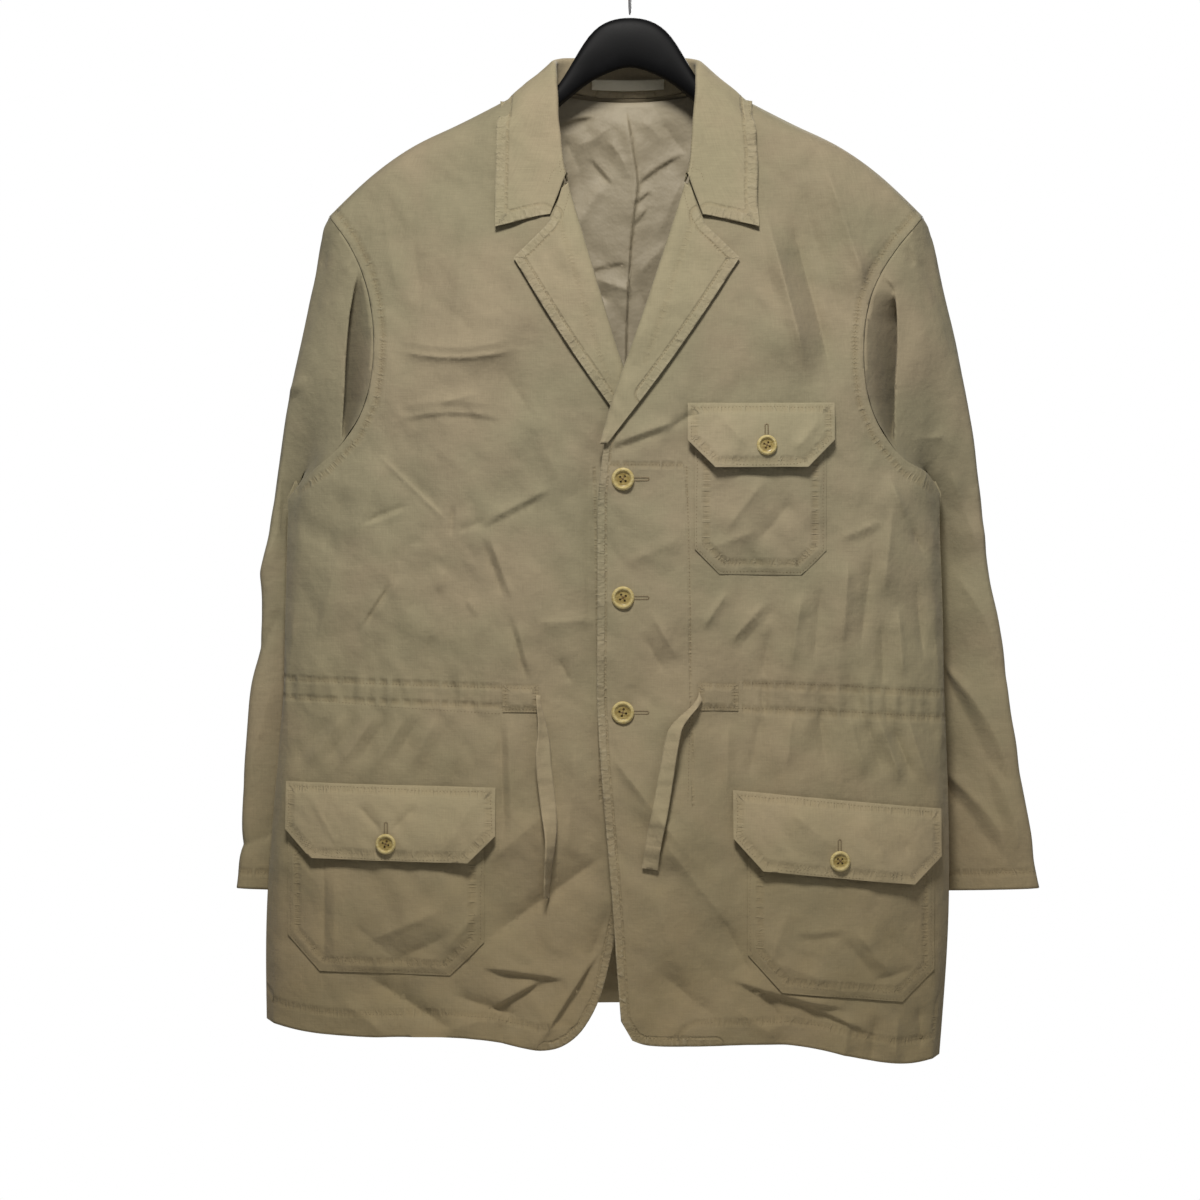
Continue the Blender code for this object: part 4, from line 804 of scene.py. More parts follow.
def from_axis(side, points):
    """Unit vectors from the sleeve's middle line, level and away from it."""
    line = np.array(SLEEVE_AXIS)
    middle = np.column_stack([np.interp(-points[:, 2], -line[:, 2], line[:, i]) for i in range(2)])
    middle[:, 0] *= side
    away = np.column_stack([points[:, :2] - middle, np.zeros(len(points))])
    return away / np.maximum(np.linalg.norm(away, axis=1, keepdims=True), 0.001)


TUCK_FOLDS = {"right": ((-0.466, 0.257), (-0.396, 0.2545), (-0.347, 0.2505), (-0.306, 0.2437)),
              "left": ((-0.462, 0.2346), (-0.389, 0.2372), (-0.319, 0.2379))}
TUCK_TOPS = {"right": -0.296, "left": -0.322}
TUCK_DEPTH = 1.3          # times its width
TUCK_BEHIND = 0.38        # times its depth, how far it runs in behind its fold
CUFF_ROW = 0.0155
sleeves, cuff_rims = {}, {}
for name, side in SIDES.items():
    seam = front_rims[name].place
    seam = seam[(seam[:, 0] * side > 0.18) & (seam[:, 1] < -0.020) & (seam[:, 2] > -0.490)]
    seam = seam[np.argsort(seam[:, 2])]
    fold = np.array(TUCK_FOLDS[name])

    def outward(points):
        return from_axis(side, points)

    def tuck(points):
        """How far the sleeve's front falls back between seam and fold, and how much painted shade darkens it
        there.
        """
        level = points[:, 2]
        start_out = np.interp(level, seam[:, 2], seam[:, 0] * side)
        wide = np.maximum(np.interp(level, fold[:, 0], fold[:, 1]) - start_out, 0.0001)
        share = (points[:, 0] * side - start_out) / wide
        shape = np.clip(share, 0, 1) * ease((1 - share) * wide / 0.0060)
        facing = ease(-2.5 * outward(points)[:, 1]) * ease((TUCK_TOPS[name] - level) / 0.035)
        # Painted shade in the tuck's colour, stronger further down the tuck, where it lies deepest.
        dark = 0.35 + 0.65 * ease((-0.320 - level) / 0.130)
        hidden = dark * ease(3 * share) * (share < 1) * facing * ease(wide / 0.012)
        return TUCK_DEPTH * wide * shape * facing, hidden

    def lift(points):
        away = outward(points)
        x, z = points[:, 0], points[:, 2]
        seen = raised(SLEEVE_CREASES[name], x, z) * ease(-1.6 * away[:, 1])
        hidden = raised(SLEEVE_CREASES[name], x + 0.012 * side, z + 0.05) * ease(1.6 * away[:, 1])
        return 2.0 * seen + 0.8 * hidden + 0.0034 * waves(x + 2 * points[:, 1], z) * np.abs(away[:, 1])

    sleeve, rims = wall_of(f"sleeve_{name}", outward)
    refine(sleeve, lambda p: lift(p) - tuck(p)[0], outward)
    armhole, cuff = sorted(rims, key=lambda rim: -rim.place[:, 2].mean())
    points = points_of(sleeve)
    sewn, _ = nearest_rim(points, armhole)
    map_bands(sleeve, hem_band(points, cuff, CUFF_ROW))
    away = outward(points)
    lay_weave(sleeve, lambda p: 0.06 * np.arctan2(away[:, 0], away[:, 1]), height_of)
    # The tuck's depth, and painted shade for it and for the sleeve's inner side beside the body.
    depth, painted_shade = tuck(points)
    beside_body = ease((0.330 - points[:, 0] * side) / 0.060) * ease((-0.440 - points[:, 2]) / 0.060)
    painted_shade = np.maximum(0.92 * painted_shade, 0.28 * beside_body)
    sleeve.data.attributes.new("painted_shade", "FLOAT", "POINT").data.foreach_set("value", painted_shade)
    points = points + np.outer(depth, (TUCK_BEHIND * side, 1, 0))
    set_points(sleeve, points + (lift(points) * ease(sewn / 0.014))[:, None] * away)
    put_on(sleeve, shell_cotton, "khaki_cotton", f"sleeve_{name}")
    sleeves[name], cuff_rims[name] = sleeve, cuff

# Lapels
# The fronts' facings turn back along the roll line as notched lapels, two plies stitched along the edge.
# Each lies on its own front and lifts off it a little towards the peak. The cloth is a lighter khaki here.
# A lighter khaki cotton; on the flaps and the ties it is painted light, where they catch the lamp.
lighter_cotton = cotton("lighter khaki cotton", (0.385, 0.338, 0.214, 1.0), (0.425, 0.352, 0.230, 1.0),
                      (0.330, 0.255, 0.140, 1.0), (0.540, 0.475, 0.330, 1.0))
lapels, lapel_rims = {}, {}
for name, side in SIDES.items():
    def lift(points):
        return front_lift(side, points) + 0.0007 * waves(points[:, 0], points[:, 2], 0.6)

    lapel, rims = wall_of(f"lapel_{name}", forward)
    refine(lapel, lift, forward, 0.0030)
    points = points_of(lapel)
    map_bands(lapel, edge_band(points, rims[0], 0.0085, lambda p: p[0] * side > 0.012 and p[2] < -0.262))
    lay_weave(lapel, lambda p: p[:, 0], height_of)
    set_points(lapel, points - np.outer(lift(points), (0, 1, 0)))
    put_on(lapel, lighter_cotton, "khaki_cotton", f"lapel_{name}")
    lapels[name], lapel_rims[name] = lapel, rims[0]

# Collar
# Stand and fall are cut in one, folded over along the neck and stitched twice round the edge.
# The stitching draws the free edge into small ripples.
NECK_AXIS = (MIDDLE, 0.0)


def from_neck(points):
    away = np.column_stack([points[:, :2] - NECK_AXIS, np.full(len(points), 0.03)])
    return away / np.linalg.norm(away, axis=1, keepdims=True)


def collar_lift(points):
    return 0.0011 * waves(points[:, 0] + points[:, 1], points[:, 2], 0.6)


def on_free_edge(p):
    return abs(p[0] - MIDDLE) > 0.074 or p[1] > 0.03


collar, rims = wall_of("collar", from_neck)
refine(collar, collar_lift, from_neck, 0.0034)
collar_rim = rims[0]
# Its ends are drawn down where they cross the shoulders, and its front edges in to the lapels.
points = nudged(points_of(collar), -0.1140, -0.160, 0.012, (0.002, 0.0, -0.0065))
points = nudged(points, 0.1070, -0.160, 0.012, (-0.002, 0.0, -0.0065))
x, y, z = points.T
from_gorge = np.abs(x - MIDDLE) - (0.0685 - 0.0141 * np.clip((z + 0.266) / 0.037, 0, 1))
near = np.exp(-(from_gorge / 0.006) ** 2) * (z > -0.270) * (z < -0.222) * (y < 0)
points = points + np.outer(near, (0, 0, -0.0007)) - np.outer(near * np.sign(x), (0.0016, 0, 0))
map_bands(collar, edge_band(points, collar_rim, 0.0105, on_free_edge))
lay_weave(collar, lambda p: 0.09 * np.arctan2(p[:, 0] - MIDDLE, p[:, 1]), height_of)
set_points(collar, points + collar_lift(points)[:, None] * from_neck(points))
put_on(collar, lighter_cotton, "khaki_cotton", "collar")

# Patch pockets, flaps and casing tabs
# Flat patches with cut-off lower corners, stitched to the fronts, and flaps that button down over them.
# Small tabs close the ends of the waist casing.
PATCH_CLOTH = 0.0013
PATCHES = {
    "pocket_chest": ("left", 0.117, 0.134, 0.0148),
    "pocket_hip_right": ("right", 0.176, 0.150, 0.0252),
    "pocket_hip_left": ("left", 0.168, 0.155, 0.0250),
    "flap_chest": ("left", 0.130, 0.058, 0.0070),
    "flap_hip_right": ("right", 0.188, 0.068, 0.0120),
    "flap_hip_left": ("left", 0.187, 0.070, 0.0122),
    "casing_tab_right": ("right", 0.033, 0.025, 0.0008),
    "casing_tab_left": ("left", 0.037, 0.025, 0.0009),
}
PATCH_CREASES = (
    # left hip pocket
    (0.168, -0.901, 0.026, 0.0040, 4, -0.0007),
    (0.168, -0.895, 0.026, 0.0060, 4, 0.0010),
    (0.215, -0.915, 0.032, 0.0080, -52, 0.0024),
    (0.203, -0.920, 0.028, 0.0080, -52, -0.0018),
    (0.232, -0.935, 0.024, 0.0050, 14, -0.0014),
    (0.130, -0.900, 0.034, 0.0090, 70, 0.0018),
    (0.150, -0.930, 0.034, 0.0090, -20, 0.0016),
    # right hip pocket
    (-0.271, -0.880, 0.052, 0.0040, 90, -0.0018),
    (-0.262, -0.880, 0.052, 0.0080, 90, 0.0016),
    (-0.200, -0.890, 0.040, 0.0090, 24, 0.0022),
    (-0.185, -0.910, 0.040, 0.0090, 26, -0.0020),
    (-0.150, -0.895, 0.034, 0.0080, 50, 0.0020),
    (-0.225, -0.905, 0.030, 0.0090, -40, -0.0016),
    # chest pocket
    (0.100, -0.520, 0.034, 0.0090, 52, 0.0020),
    (0.126, -0.535, 0.030, 0.0080, 50, -0.0018),
    (0.090, -0.550, 0.026, 0.0080, 20, 0.0014),
    # flaps
    (-0.230, -0.795, 0.018, 0.0036, -45, -0.0014),
    (-0.199, -0.795, 0.018, 0.0036, 45, -0.0014),
    (-0.150, -0.800, 0.030, 0.0080, 60, 0.0016),
    (-0.270, -0.800, 0.030, 0.0080, -60, 0.0016),
    (0.160, -0.805, 0.030, 0.0080, -40, 0.0018),
    (0.215, -0.815, 0.028, 0.0070, -62, 0.0020),
    (0.238, -0.810, 0.028, 0.0070, -66, -0.0016),
    (0.090, -0.455, 0.020, 0.0060, -50, 0.0014),
    (0.155, -0.458, 0.020, 0.0060, 50, 0.0014),
)
PATCH_ROWS = {"pocket": 0.0105, "flap": 0.0060, "casing": 0.0024}
PATCH_FOLDS = 1.9
FLAP_LOOSE = 0.0037       # how far a flap's lower edge stands off
patches, patch_rims = {}, {}
for node, (name, wide, tall, area) in PATCHES.items():
    side = SIDES[name]
    kind = node.split("_")[0]
    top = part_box(node)[1].z

    def lift(points):
        x, z = points[:, 0], points[:, 2]
        loose = FLAP_LOOSE * ((top - z) / tall) ** 1.2 if kind == "flap" else 0.0
        return front_lift(side, points) + PATCH_FOLDS * raised(PATCH_CREASES, x, z) + loose

    patch, rims = wall_of(node, forward, PATCH_CLOTH)
    refine(patch, lift, forward, 0.0026)
    points = points_of(patch)
    map_bands(patch, hem_band(points, rims[0], PATCH_ROWS[kind]))
    lay_weave(patch, lambda p: p[:, 0], height_of)
    distance, _ = nearest_rim(points, rims[0])
    sunk = 0.0 if kind == "flap" else 0.0010 * np.exp(-(distance / 0.004) ** 2)
    set_points(patch, points - np.outer(lift(points) - sunk, (0, 1, 0)))
    # Flaps take the lighter cotton: painted light on their faces, which tilt up to the lamp.
    put_on(patch, lighter_cotton if kind == "flap" else shell_cotton, "khaki_cotton", node)
    patches[node], patch_rims[node] = patch, rims[0]

# Drawstring ends
# Flat ties folded from the same cotton, one from each end of the casing, hanging free with a twist.
# Each is pinched where it leaves the casing and spreads to its full width below.
TIE_CLOTH = 0.0012
TIE_STATIONS = 24
TIE_RISES = {"right": 0.013, "left": 0.004}       # how far the free ends are drawn up
TIE_DROOPS = {"right": 0.0, "left": 0.006}        # how far they fall back against the cloth
TIE_STARTS = {"right": (-0.008, 0.0, 0.003), "left": (0.013, 0.0, 0.001)}     # into the casing's ends
TIE_PINCH = 0.28          # a tie's width where it leaves the casing, as a share of its full width
NO_STITCHING = 3.0        # an inset beyond any stitched strip
for name, side in SIDES.items():
    tie, _ = wall_of(f"tie_{name}", forward, TIE_CLOTH)
    points = points_of(tie)
    map_points(tie, "edges", points[:, 2], np.full(len(points), NO_STITCHING))
    hung = (points[:, 2].max() - points[:, 2]) / np.ptp(points[:, 2])
    stations = np.linspace(0, 1, TIE_STATIONS)
    middle = [points[np.abs(hung - station) < 1 / TIE_STATIONS, 0].mean() for station in stations]
    middle = np.interp(hung, stations, middle)
    points[:, 0] = middle + (points[:, 0] - middle) * (TIE_PINCH + (1 - TIE_PINCH) * ease(hung / 0.26))
    points[:, 1] += 0.0006 * np.sin(points[:, 2] * 640 + 2 * np.sin(points[:, 2] * 170))
    points[:, 2] += TIE_RISES[name] * ease((hung - 0.4) / 0.6)
    points[:, 1] += TIE_DROOPS[name] * ease((hung - 0.7) / 0.3)
    points = points + np.outer(ease(1 - hung / 0.22), TIE_STARTS[name])
    points = points - np.outer(front_lift(side, points) + 0.0025 * np.sin(np.pi * hung) ** 2, (0, 1, 0))
    set_points(tie, points)
    top, foot = points[:, 2].max() - 0.003, points[:, 2].min() + 0.001
    levels = np.linspace(top, foot, TIE_STATIONS)
    slab = (top - foot) / TIE_STATIONS
    path = [points[np.abs(points[:, 2] - level) < slab].mean(axis=0) for level in levels]
    lay_weave(tie, lambda p: p[:, 0] + p[:, 1], height_of)
    # The tie takes the lighter cotton: painted light where it catches the lamp.
    put_on(tie, lighter_cotton, "khaki_cotton", f"tie_{name}")

# Half lining and hanging loop
# A smooth twill lining covers the shoulders inside, with a pleat down its middle, and hangs rumpled.
# A woven tape is sewn by its ends across the neck as a hanging loop.
LINING_CLOTH = 0.001
LINING_CREASES = (
    (-0.0476, -0.169, 0.020, 0.0060, 15, 0.0, 0.003, 0.0030),
    (-0.032, -0.180, 0.024, 0.0050, 30, 0.0016, -0.002),
    (-0.052, -0.198, 0.020, 0.0060, -66, -0.0020),
    (-0.012, -0.200, 0.026, 0.0060, -60, 0.0020, 0.003),
    (-0.026, -0.212, 0.020, 0.0060, -50, 0.0, 0.0, 0.0034),
    (-0.034, -0.246, 0.036, 0.0090, 58, 0.0022, 0.004),
    (-0.052, -0.232, 0.030, 0.0080, 66, -0.0020),
    (0.028, -0.212, 0.030, 0.0070, 34, 0.0, 0.003, 0.0030),
    (0.040, -0.182, 0.024, 0.0070, -52, -0.0018),
    (0.022, -0.176, 0.018, 0.0060, -40, 0.0014),
    (0.036, -0.246, 0.034, 0.0090, 66, 0.0020),
    (0.012, -0.236, 0.012, 0.0040, 40, 0.0, 0.0, 0.0024),
    (0.010, -0.254, 0.012, 0.0040, 52, 0.0, 0.0, 0.0022),
    (-0.022, -0.302, 0.030, 0.0070, 12, 0.0, 0.003, 0.0020),
    (-0.014, -0.316, 0.024, 0.0050, -20, 0.0018),
    (-0.030, -0.322, 0.018, 0.0050, -34, -0.0020),
    (0.020, -0.292, 0.026, 0.0070, 48, 0.0016),
    (0.016, -0.336, 0.030, 0.0080, -64, -0.0018),
)


def smooth_twill(name, colour, dark, roughness):
    """Filament cloth with a soft sheen and a fine twill line."""
    material, place, shader = finish_of(name, roughness, {"Sheen Weight": 0.12, "Sheen Roughness": 0.3})
    thread = place.node("ShaderNodeUVMap", {}, uv_map="weave")
    twill = place.node("ShaderNodeMapping", {"Vector": thread, "Rotation": (0, 0, 0.9),
                                             "Scale": (1600.0, 40.0, 1.0)})
    lines = twill.noise(1.0, 1.0)
    feed(place.noise(22.0, 3.0).ramp(0.3, 0.7).mix(colour, dark), shader, "Base Color")
    feed(roughness - 0.06 + 0.12 * lines, shader, "Roughness")
    feed((0.0022 * place.noise(55.0, 3.0) + 0.00006 * lines).bump(), shader, "Normal")
    return material


lining_twill = smooth_twill("lining twill", (0.355, 0.305, 0.212, 1.0), (0.310, 0.262, 0.178, 1.0), 0.62)
PLEAT = ((-0.399, -0.0039), (-0.340, -0.0022), (-0.2815, 0.0010), (-0.2488, 0.0043), (-0.226, 0.0076),
         (-0.2096, 0.0059), (-0.1492, -0.0039))
PLEAT_HIGH = 0.0050
PLEAT_TOP = -0.147
LINING_FOLDS = 1.7


def lining_lift(points):
    """Creases, and a pleat whose right part lies over its left, down the middle."""
    x, z = points[:, 0], points[:, 2]
    path = np.array(PLEAT)
    aside = np.interp(z, path[:, 0], path[:, 1]) - x
    pleat = PLEAT_HIGH * ease(0.5 + aside / 0.0030) * np.exp(-np.maximum(aside, 0) / 0.020)
    pleat = pleat * ease((PLEAT_TOP - z) / 0.03)
    folds = LINING_FOLDS * raised(LINING_CREASES, x, z) + pleat
    return np.maximum(folds + 0.0014 * waves(x, z, 0.55) + 0.0026, -0.0004)


lining, rims = wall_of("lining_back", forward, LINING_CLOTH)
refine(lining, lining_lift, forward, 0.0050)
points = points_of(lining)
sewn, _ = nearest_rim(points, rims[0], lambda p: p[2] > -0.420)
set_points(lining, points - np.outer(lining_lift(points) * ease(sewn / 0.02), (0, 1, 0)))
lay_weave(lining, lambda p: p[:, 0], height_of)
put_on(lining, lining_twill, "lining", "lining_back")

tape_weave = smooth_twill("loop tape", (0.86, 0.80, 0.62, 1.0), (0.74, 0.66, 0.48, 1.0), 0.45)
loop, _ = wall_of("hanging_loop", forward, LINING_CLOTH)
lay_weave(loop, lambda p: p[:, 0], height_of)
put_on(loop, tape_weave, "loop_tape", "hanging_loop")

# Topstitching
# Tone-on-tone cotton thread along every edge: small sunk stitches about 3 mm apart.
# One row holds each hem, flap and lapel, and two rows run round the pockets and the collar.
STITCH_PITCH = 0.0031
STITCH_LONG = 0.0023
STITCH_WIDE = 0.0007
STITCH_HIGH = 0.0004
STITCH_SUNK = 0.0002
STITCH_DEEP = 0.0003
STITCH_REACH = 0.006      # a stitch that finds no cloth as near as this is left out
thread_finish, place, shader = finish_of("khaki thread", 0.6)
twist = place.noise(900.0, 1.0)
feed(twist.mix((0.170, 0.128, 0.066, 1.0), (0.270, 0.210, 0.118, 1.0)), shader, "Base Color")
surfaces = {}


def surface_of(piece):
    """A finished piece's surface, to find places on it."""
    if piece.name not in surfaces:
        bm = bmesh.new()
        bm.from_mesh(piece.data)
        surfaces[piece.name] = BVHTree.FromBMesh(bm)
        bm.free()
    return surfaces[piece.name]


def rim_line(rim, inset, where):
    """Runs of points a little way in from the parts of a rim where something holds."""
    kept = np.array([bool(where(p)) for p in rim.place])
    line = rim.place + inset * rim.inward
    begin = int(np.argmin(kept)) if not kept.all() else 0
    order = np.roll(np.arange(len(kept)), -begin)
    runs, run = [], []
    for i in order:
        if kept[i]:
            run.append(line[i])
        elif run:
            runs.append(np.array(run))
            run = []
    if run:
        runs.append(np.array(run))
    return [r for r in runs if len(r) > 2]


def made_of(bm, name):
    """A finished mesh as a new piece, smooth, with its faces outward."""
    bmesh.ops.recalc_face_normals(bm, faces=bm.faces[:])
    mesh = bpy.data.meshes.new(name)
    bm.to_mesh(mesh)
    bm.free()
    mesh.shade_smooth()
    made = bpy.data.objects.new(name, mesh)
    bpy.context.scene.collection.objects.link(made)
    return made


def thread_on(piece):
    """Makes a piece of the jacket's own sewing thread."""
    piece.data.materials.append(thread_finish)
    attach(piece, "root")


def sew(name, rows):
    """Stitches along rows of points, each row given with the piece whose outer face it lies on."""
    corners, faces = [], []
    for piece, row in rows:
        surface = surface_of(piece)
        run = run_of(row)
        for middle in np.arange(STITCH_PITCH / 2, run[-1], STITCH_PITCH):
            ends = [[np.interp(middle + half, run, axis) for axis in row.T]
                    for half in (-STITCH_LONG / 2, STITCH_LONG / 2)]
            hits = [surface.find_nearest(Vector(p)) for p in ends]
            if any(h[0] is None or h[3] > STITCH_REACH for h in hits):
                continue
            first, last = hits[0][0], hits[1][0]
            out = (hits[0][1] + hits[1][1]).normalized()
            over = out.cross(last - first).normalized() * (STITCH_WIDE / 2)
            centre = (first + last) / 2
            base = len(corners)
            corners += [first - out * STITCH_SUNK, last - out * STITCH_SUNK, centre + over, centre - over,
                        centre + out * STITCH_HIGH, centre - out * STITCH_DEEP]
            for a, b in ((2, 4), (4, 3), (3, 5), (5, 2)):
                faces += [(base, base + a, base + b), (base + 1, base + b, base + a)]
    mesh = bpy.data.meshes.new("stitches")
    mesh.from_pydata(corners, [], faces)
    mesh.validate()
    bm = bmesh.new()
    bm.from_mesh(mesh)
    bpy.data.meshes.remove(mesh)
    thread_on(made_of(bm, name))


def down_front(piece, line):
    """A row of points where a line drawn on the front, as (x, z) points, meets a piece."""
    surface = surface_of(piece)
    line = np.array(line)
    run = run_of(line)
    row = []
    for s in np.arange(0, run[-1], RIM_STEP):
        x, z = np.interp(s, run, line[:, 0]), np.interp(s, run, line[:, 1])
        hit = surface.ray_cast(Vector((x, -1.0, z)), Vector((0.0, 1.0, 0.0)))[0]
        if hit:
            row.append(hit)
    return np.array(row)


def rows_in(piece, rim, inset, where=lambda p: True):
    """Rows of stitching on a piece, a little way in from the parts of its rim where something holds."""
    return [(piece, row) for row in rim_line(rim, inset, where)]


FRONT_EDGE_ROW = 0.0068
LAPEL_ROW = 0.0080
COLLAR_ROWS = (0.0035, 0.0100)
FRONT_ROWS = {
    "right": (
        ((-0.305, -0.6745), (-0.200, -0.6780), (-0.113, -0.6805)),
        ((-0.305, -0.6900), (-0.200, -0.6985), (-0.113, -0.7035)),
    ),
    "left": (
        ((-0.0225, FACING_TOP), (0.048, FACING_TOP)),
        ((0.049, FACING_TOP), (0.052, -0.600), (0.053, -0.672)),
        ((0.052, -0.706), (0.050, -0.780)),
        ((0.094, -0.6760), (0.180, -0.6780), (0.276, -0.6850)),
        ((0.094, -0.6985), (0.180, -0.7010), (0.278, -0.7075)),
    ),
}
rows = []
for name, side in SIDES.items():
    front, rim = fronts[name], front_rims[name]
    rows += rows_in(front, rim, FRONT_EDGE_ROW, lambda p: p[0] * side < 0.075 and p[2] < -0.462)
    rows += rows_in(front, rim, HEM_ROW, lambda p: p[0] * side > 0.060 and p[2] < -0.970)
    rows += rows_in(front, rim, ARMHOLE_ROW, lambda p: p[0] * side > 0.150 and -0.470 < p[2] < -0.262)
    rows += rows_in(lapels[name], lapel_rims[name], LAPEL_ROW, lambda p: p[0] * side > 0.010)
    rows += rows_in(sleeves[name], cuff_rims[name], CUFF_ROW)
for name, front in fronts.items():
    rows += [(front, down_front(front, line)) for line in FRONT_ROWS[name]]
rows += rows_in(back, back_rim, HEM_ROW, lambda p: p[2] < -0.940)
rows += rows_in(back, back_rim, ARMHOLE_ROW, lambda p: abs(p[0] - MIDDLE) > 0.150 and -0.470 < p[2] < -0.262)
for inset in COLLAR_ROWS:
    rows += rows_in(collar, collar_rim, inset, lambda p: np.hypot(p[0] - MIDDLE, p[1]) > 0.056
                    and np.hypot(p[0] - MIDDLE, p[1] - 0.01) > 0.058)
sew("stitches_body", rows)

PATCH_INSETS = {"pocket": (0.0022, 0.0105), "flap": (0.0055,), "casing": (0.0030,)}
rows = []
for node, patch in patches.items():
    for inset in PATCH_INSETS[node.split("_")[0]]:
        rows += rows_in(patch, patch_rims[node], inset)
sew("stitches_patches", rows)

# Buttons
# Turned horn-look buttons with a raised rim, a dished middle and four holes, sewn on with brown thread.
# Three of 20 mm close the front, and one of 18 mm holds down each flap.
BUTTON_PROFILE = (        # share of the radius, and height
    (0.00, 0.0020), (0.30, 0.0019), (0.56, 0.0018), (0.63, 0.0021), (0.70, 0.0033), (0.77, 0.0039),
    (0.86, 0.0039), (0.95, 0.0032), (1.00, 0.0022), (0.97, 0.0014), (0.88, 0.0008), (0.00, 0.0007),
)
BUTTON_STEPS = 48
BORE_PLACE = 0.105        # of the diameter, from the middle along both axes
BORE_RADIUS = 0.052       # of the diameter
FRONT_BUTTON = 0.020
POCKET_BUTTON = 0.018
BUTTONS = {
    "button_front_1": (fronts["left"], FRONT_BUTTON, 8),
    "button_front_2": (fronts["left"], FRONT_BUTTON, -14),
    "button_front_3": (fronts["left"], FRONT_BUTTON, 30),
    "button_chest": (patches["flap_chest"], POCKET_BUTTON, 20),
    "button_hip_right": (patches["flap_hip_right"], POCKET_BUTTON, 24),
    "button_hip_left": (patches["flap_hip_left"], POCKET_BUTTON, 0),
}
horn, place, shader = finish_of("horn button", 0.34, {"Coat Weight": 0.25, "Coat Roughness": 0.2})
grain = place.stretched(1.0, 1.0, 3.0).noise(260.0, 4.0, distortion=0.6)
streaks = grain.ramp(0.35, 0.70)
rim_mark = place.node("ShaderNodeAttribute", {}, output="Fac", attribute_name="edge")
pale = streaks.mix((0.520, 0.410, 0.160, 1.0), (0.680, 0.570, 0.290, 1.0))
amber = streaks.mix((0.270, 0.190, 0.055, 1.0), (0.430, 0.335, 0.125, 1.0))
feed(rim_mark.mix(amber, pale), shader, "Base Color")
feed(0.28 + 0.16 * grain, shader, "Roughness")
brown_thread, place, shader = finish_of("button thread", 0.7)
feed(place.noise(1500.0).mix((0.10, 0.055, 0.025, 1.0), (0.22, 0.13, 0.065, 1.0)), shader, "Base Color")


def lathe_button(name, diameter):
    """A button at the origin facing +Z, with its holes cut."""
    radius, bore_at = diameter / 2, diameter * BORE_PLACE
    bm = bmesh.new()
    row = [bm.verts.new((share * radius, 0.0, high)) for share, high in BUTTON_PROFILE]
    edges = [bm.edges.new(pair) for pair in zip(row, row[1:])]
    bmesh.ops.spin(bm, geom=row + edges, axis=(0, 0, 1), cent=(0, 0, 0), angle=2 * math.pi,
                   steps=BUTTON_STEPS, use_merge=True)
    bmesh.ops.remove_doubles(bm, verts=bm.verts[:], dist=0.00001)
    made = made_of(bm, name)
    for x, y in ((1, 1), (1, -1), (-1, 1), (-1, -1)):
        bpy.ops.mesh.primitive_cylinder_add(vertices=16, radius=diameter * BORE_RADIUS, depth=0.01,
                                            location=(x * bore_at, y * bore_at, 0.002))
        drill = bpy.context.object
        bore = made.modifiers.new("bore", "BOOLEAN")
        bore.object, bore.operation, bore.solver = drill, "DIFFERENCE", "EXACT"
        bpy.context.view_layer.objects.active = made
        bpy.ops.object.modifier_apply(modifier=bore.name)
        bpy.data.objects.remove(drill)
    points = points_of(made)
    on_rim = ease((np.hypot(points[:, 0], points[:, 1]) / radius - 0.58) / 0.14)
    made.data.attributes.new("edge", "FLOAT", "POINT").data.foreach_set("value", on_rim.astype(np.float32))
    made.data.materials.append(horn)
    bpy.ops.object.select_all(action="DESELECT")
    bpy.context.view_layer.objects.active = made
    made.select_set(True)
    bpy.ops.object.shade_smooth_by_angle(angle=math.radians(35))
    return made


CORD_SIDES = 6
CORD_TURNS = np.linspace(0, 2 * math.pi, CORD_SIDES + 1)[:-1]


def skin(bm, rings):
    """Faces between each ring of points round a cord and the next."""
    for low, high in zip(rings, rings[1:]):
        for i in range(CORD_SIDES):
            j = (i + 1) % CORD_SIDES
            bm.faces.new((low[i], low[j], high[j], high[i]))


def sewing_cross(name, diameter):
    """Two crossed strands of thread between a button's holes."""
    bore_at = diameter * BORE_PLACE
    bm = bmesh.new()
    for turn in (45, 135):
        way = Vector((math.cos(math.radians(turn)), math.sin(math.radians(turn)), 0))
        over = Vector((-way.y, way.x, 0)) * 0.00030
        rings = []
        for share in np.linspace(-1, 1, 9):
            sunk = Vector((0, 0, 0.0021 - 0.0014 * share**4))
            centre = way * (share * bore_at * 1.414) + sunk
            rings.append([bm.verts.new(centre + over * math.cos(a) + Vector((0, 0, 0.00034 * math.sin(a))))
                          for a in CORD_TURNS])
        skin(bm, rings)
        bm.faces.new(rings[0])
        bm.faces.new(rings[-1])
    made = made_of(bm, name)
    made.data.materials.append(brown_thread)
    return made


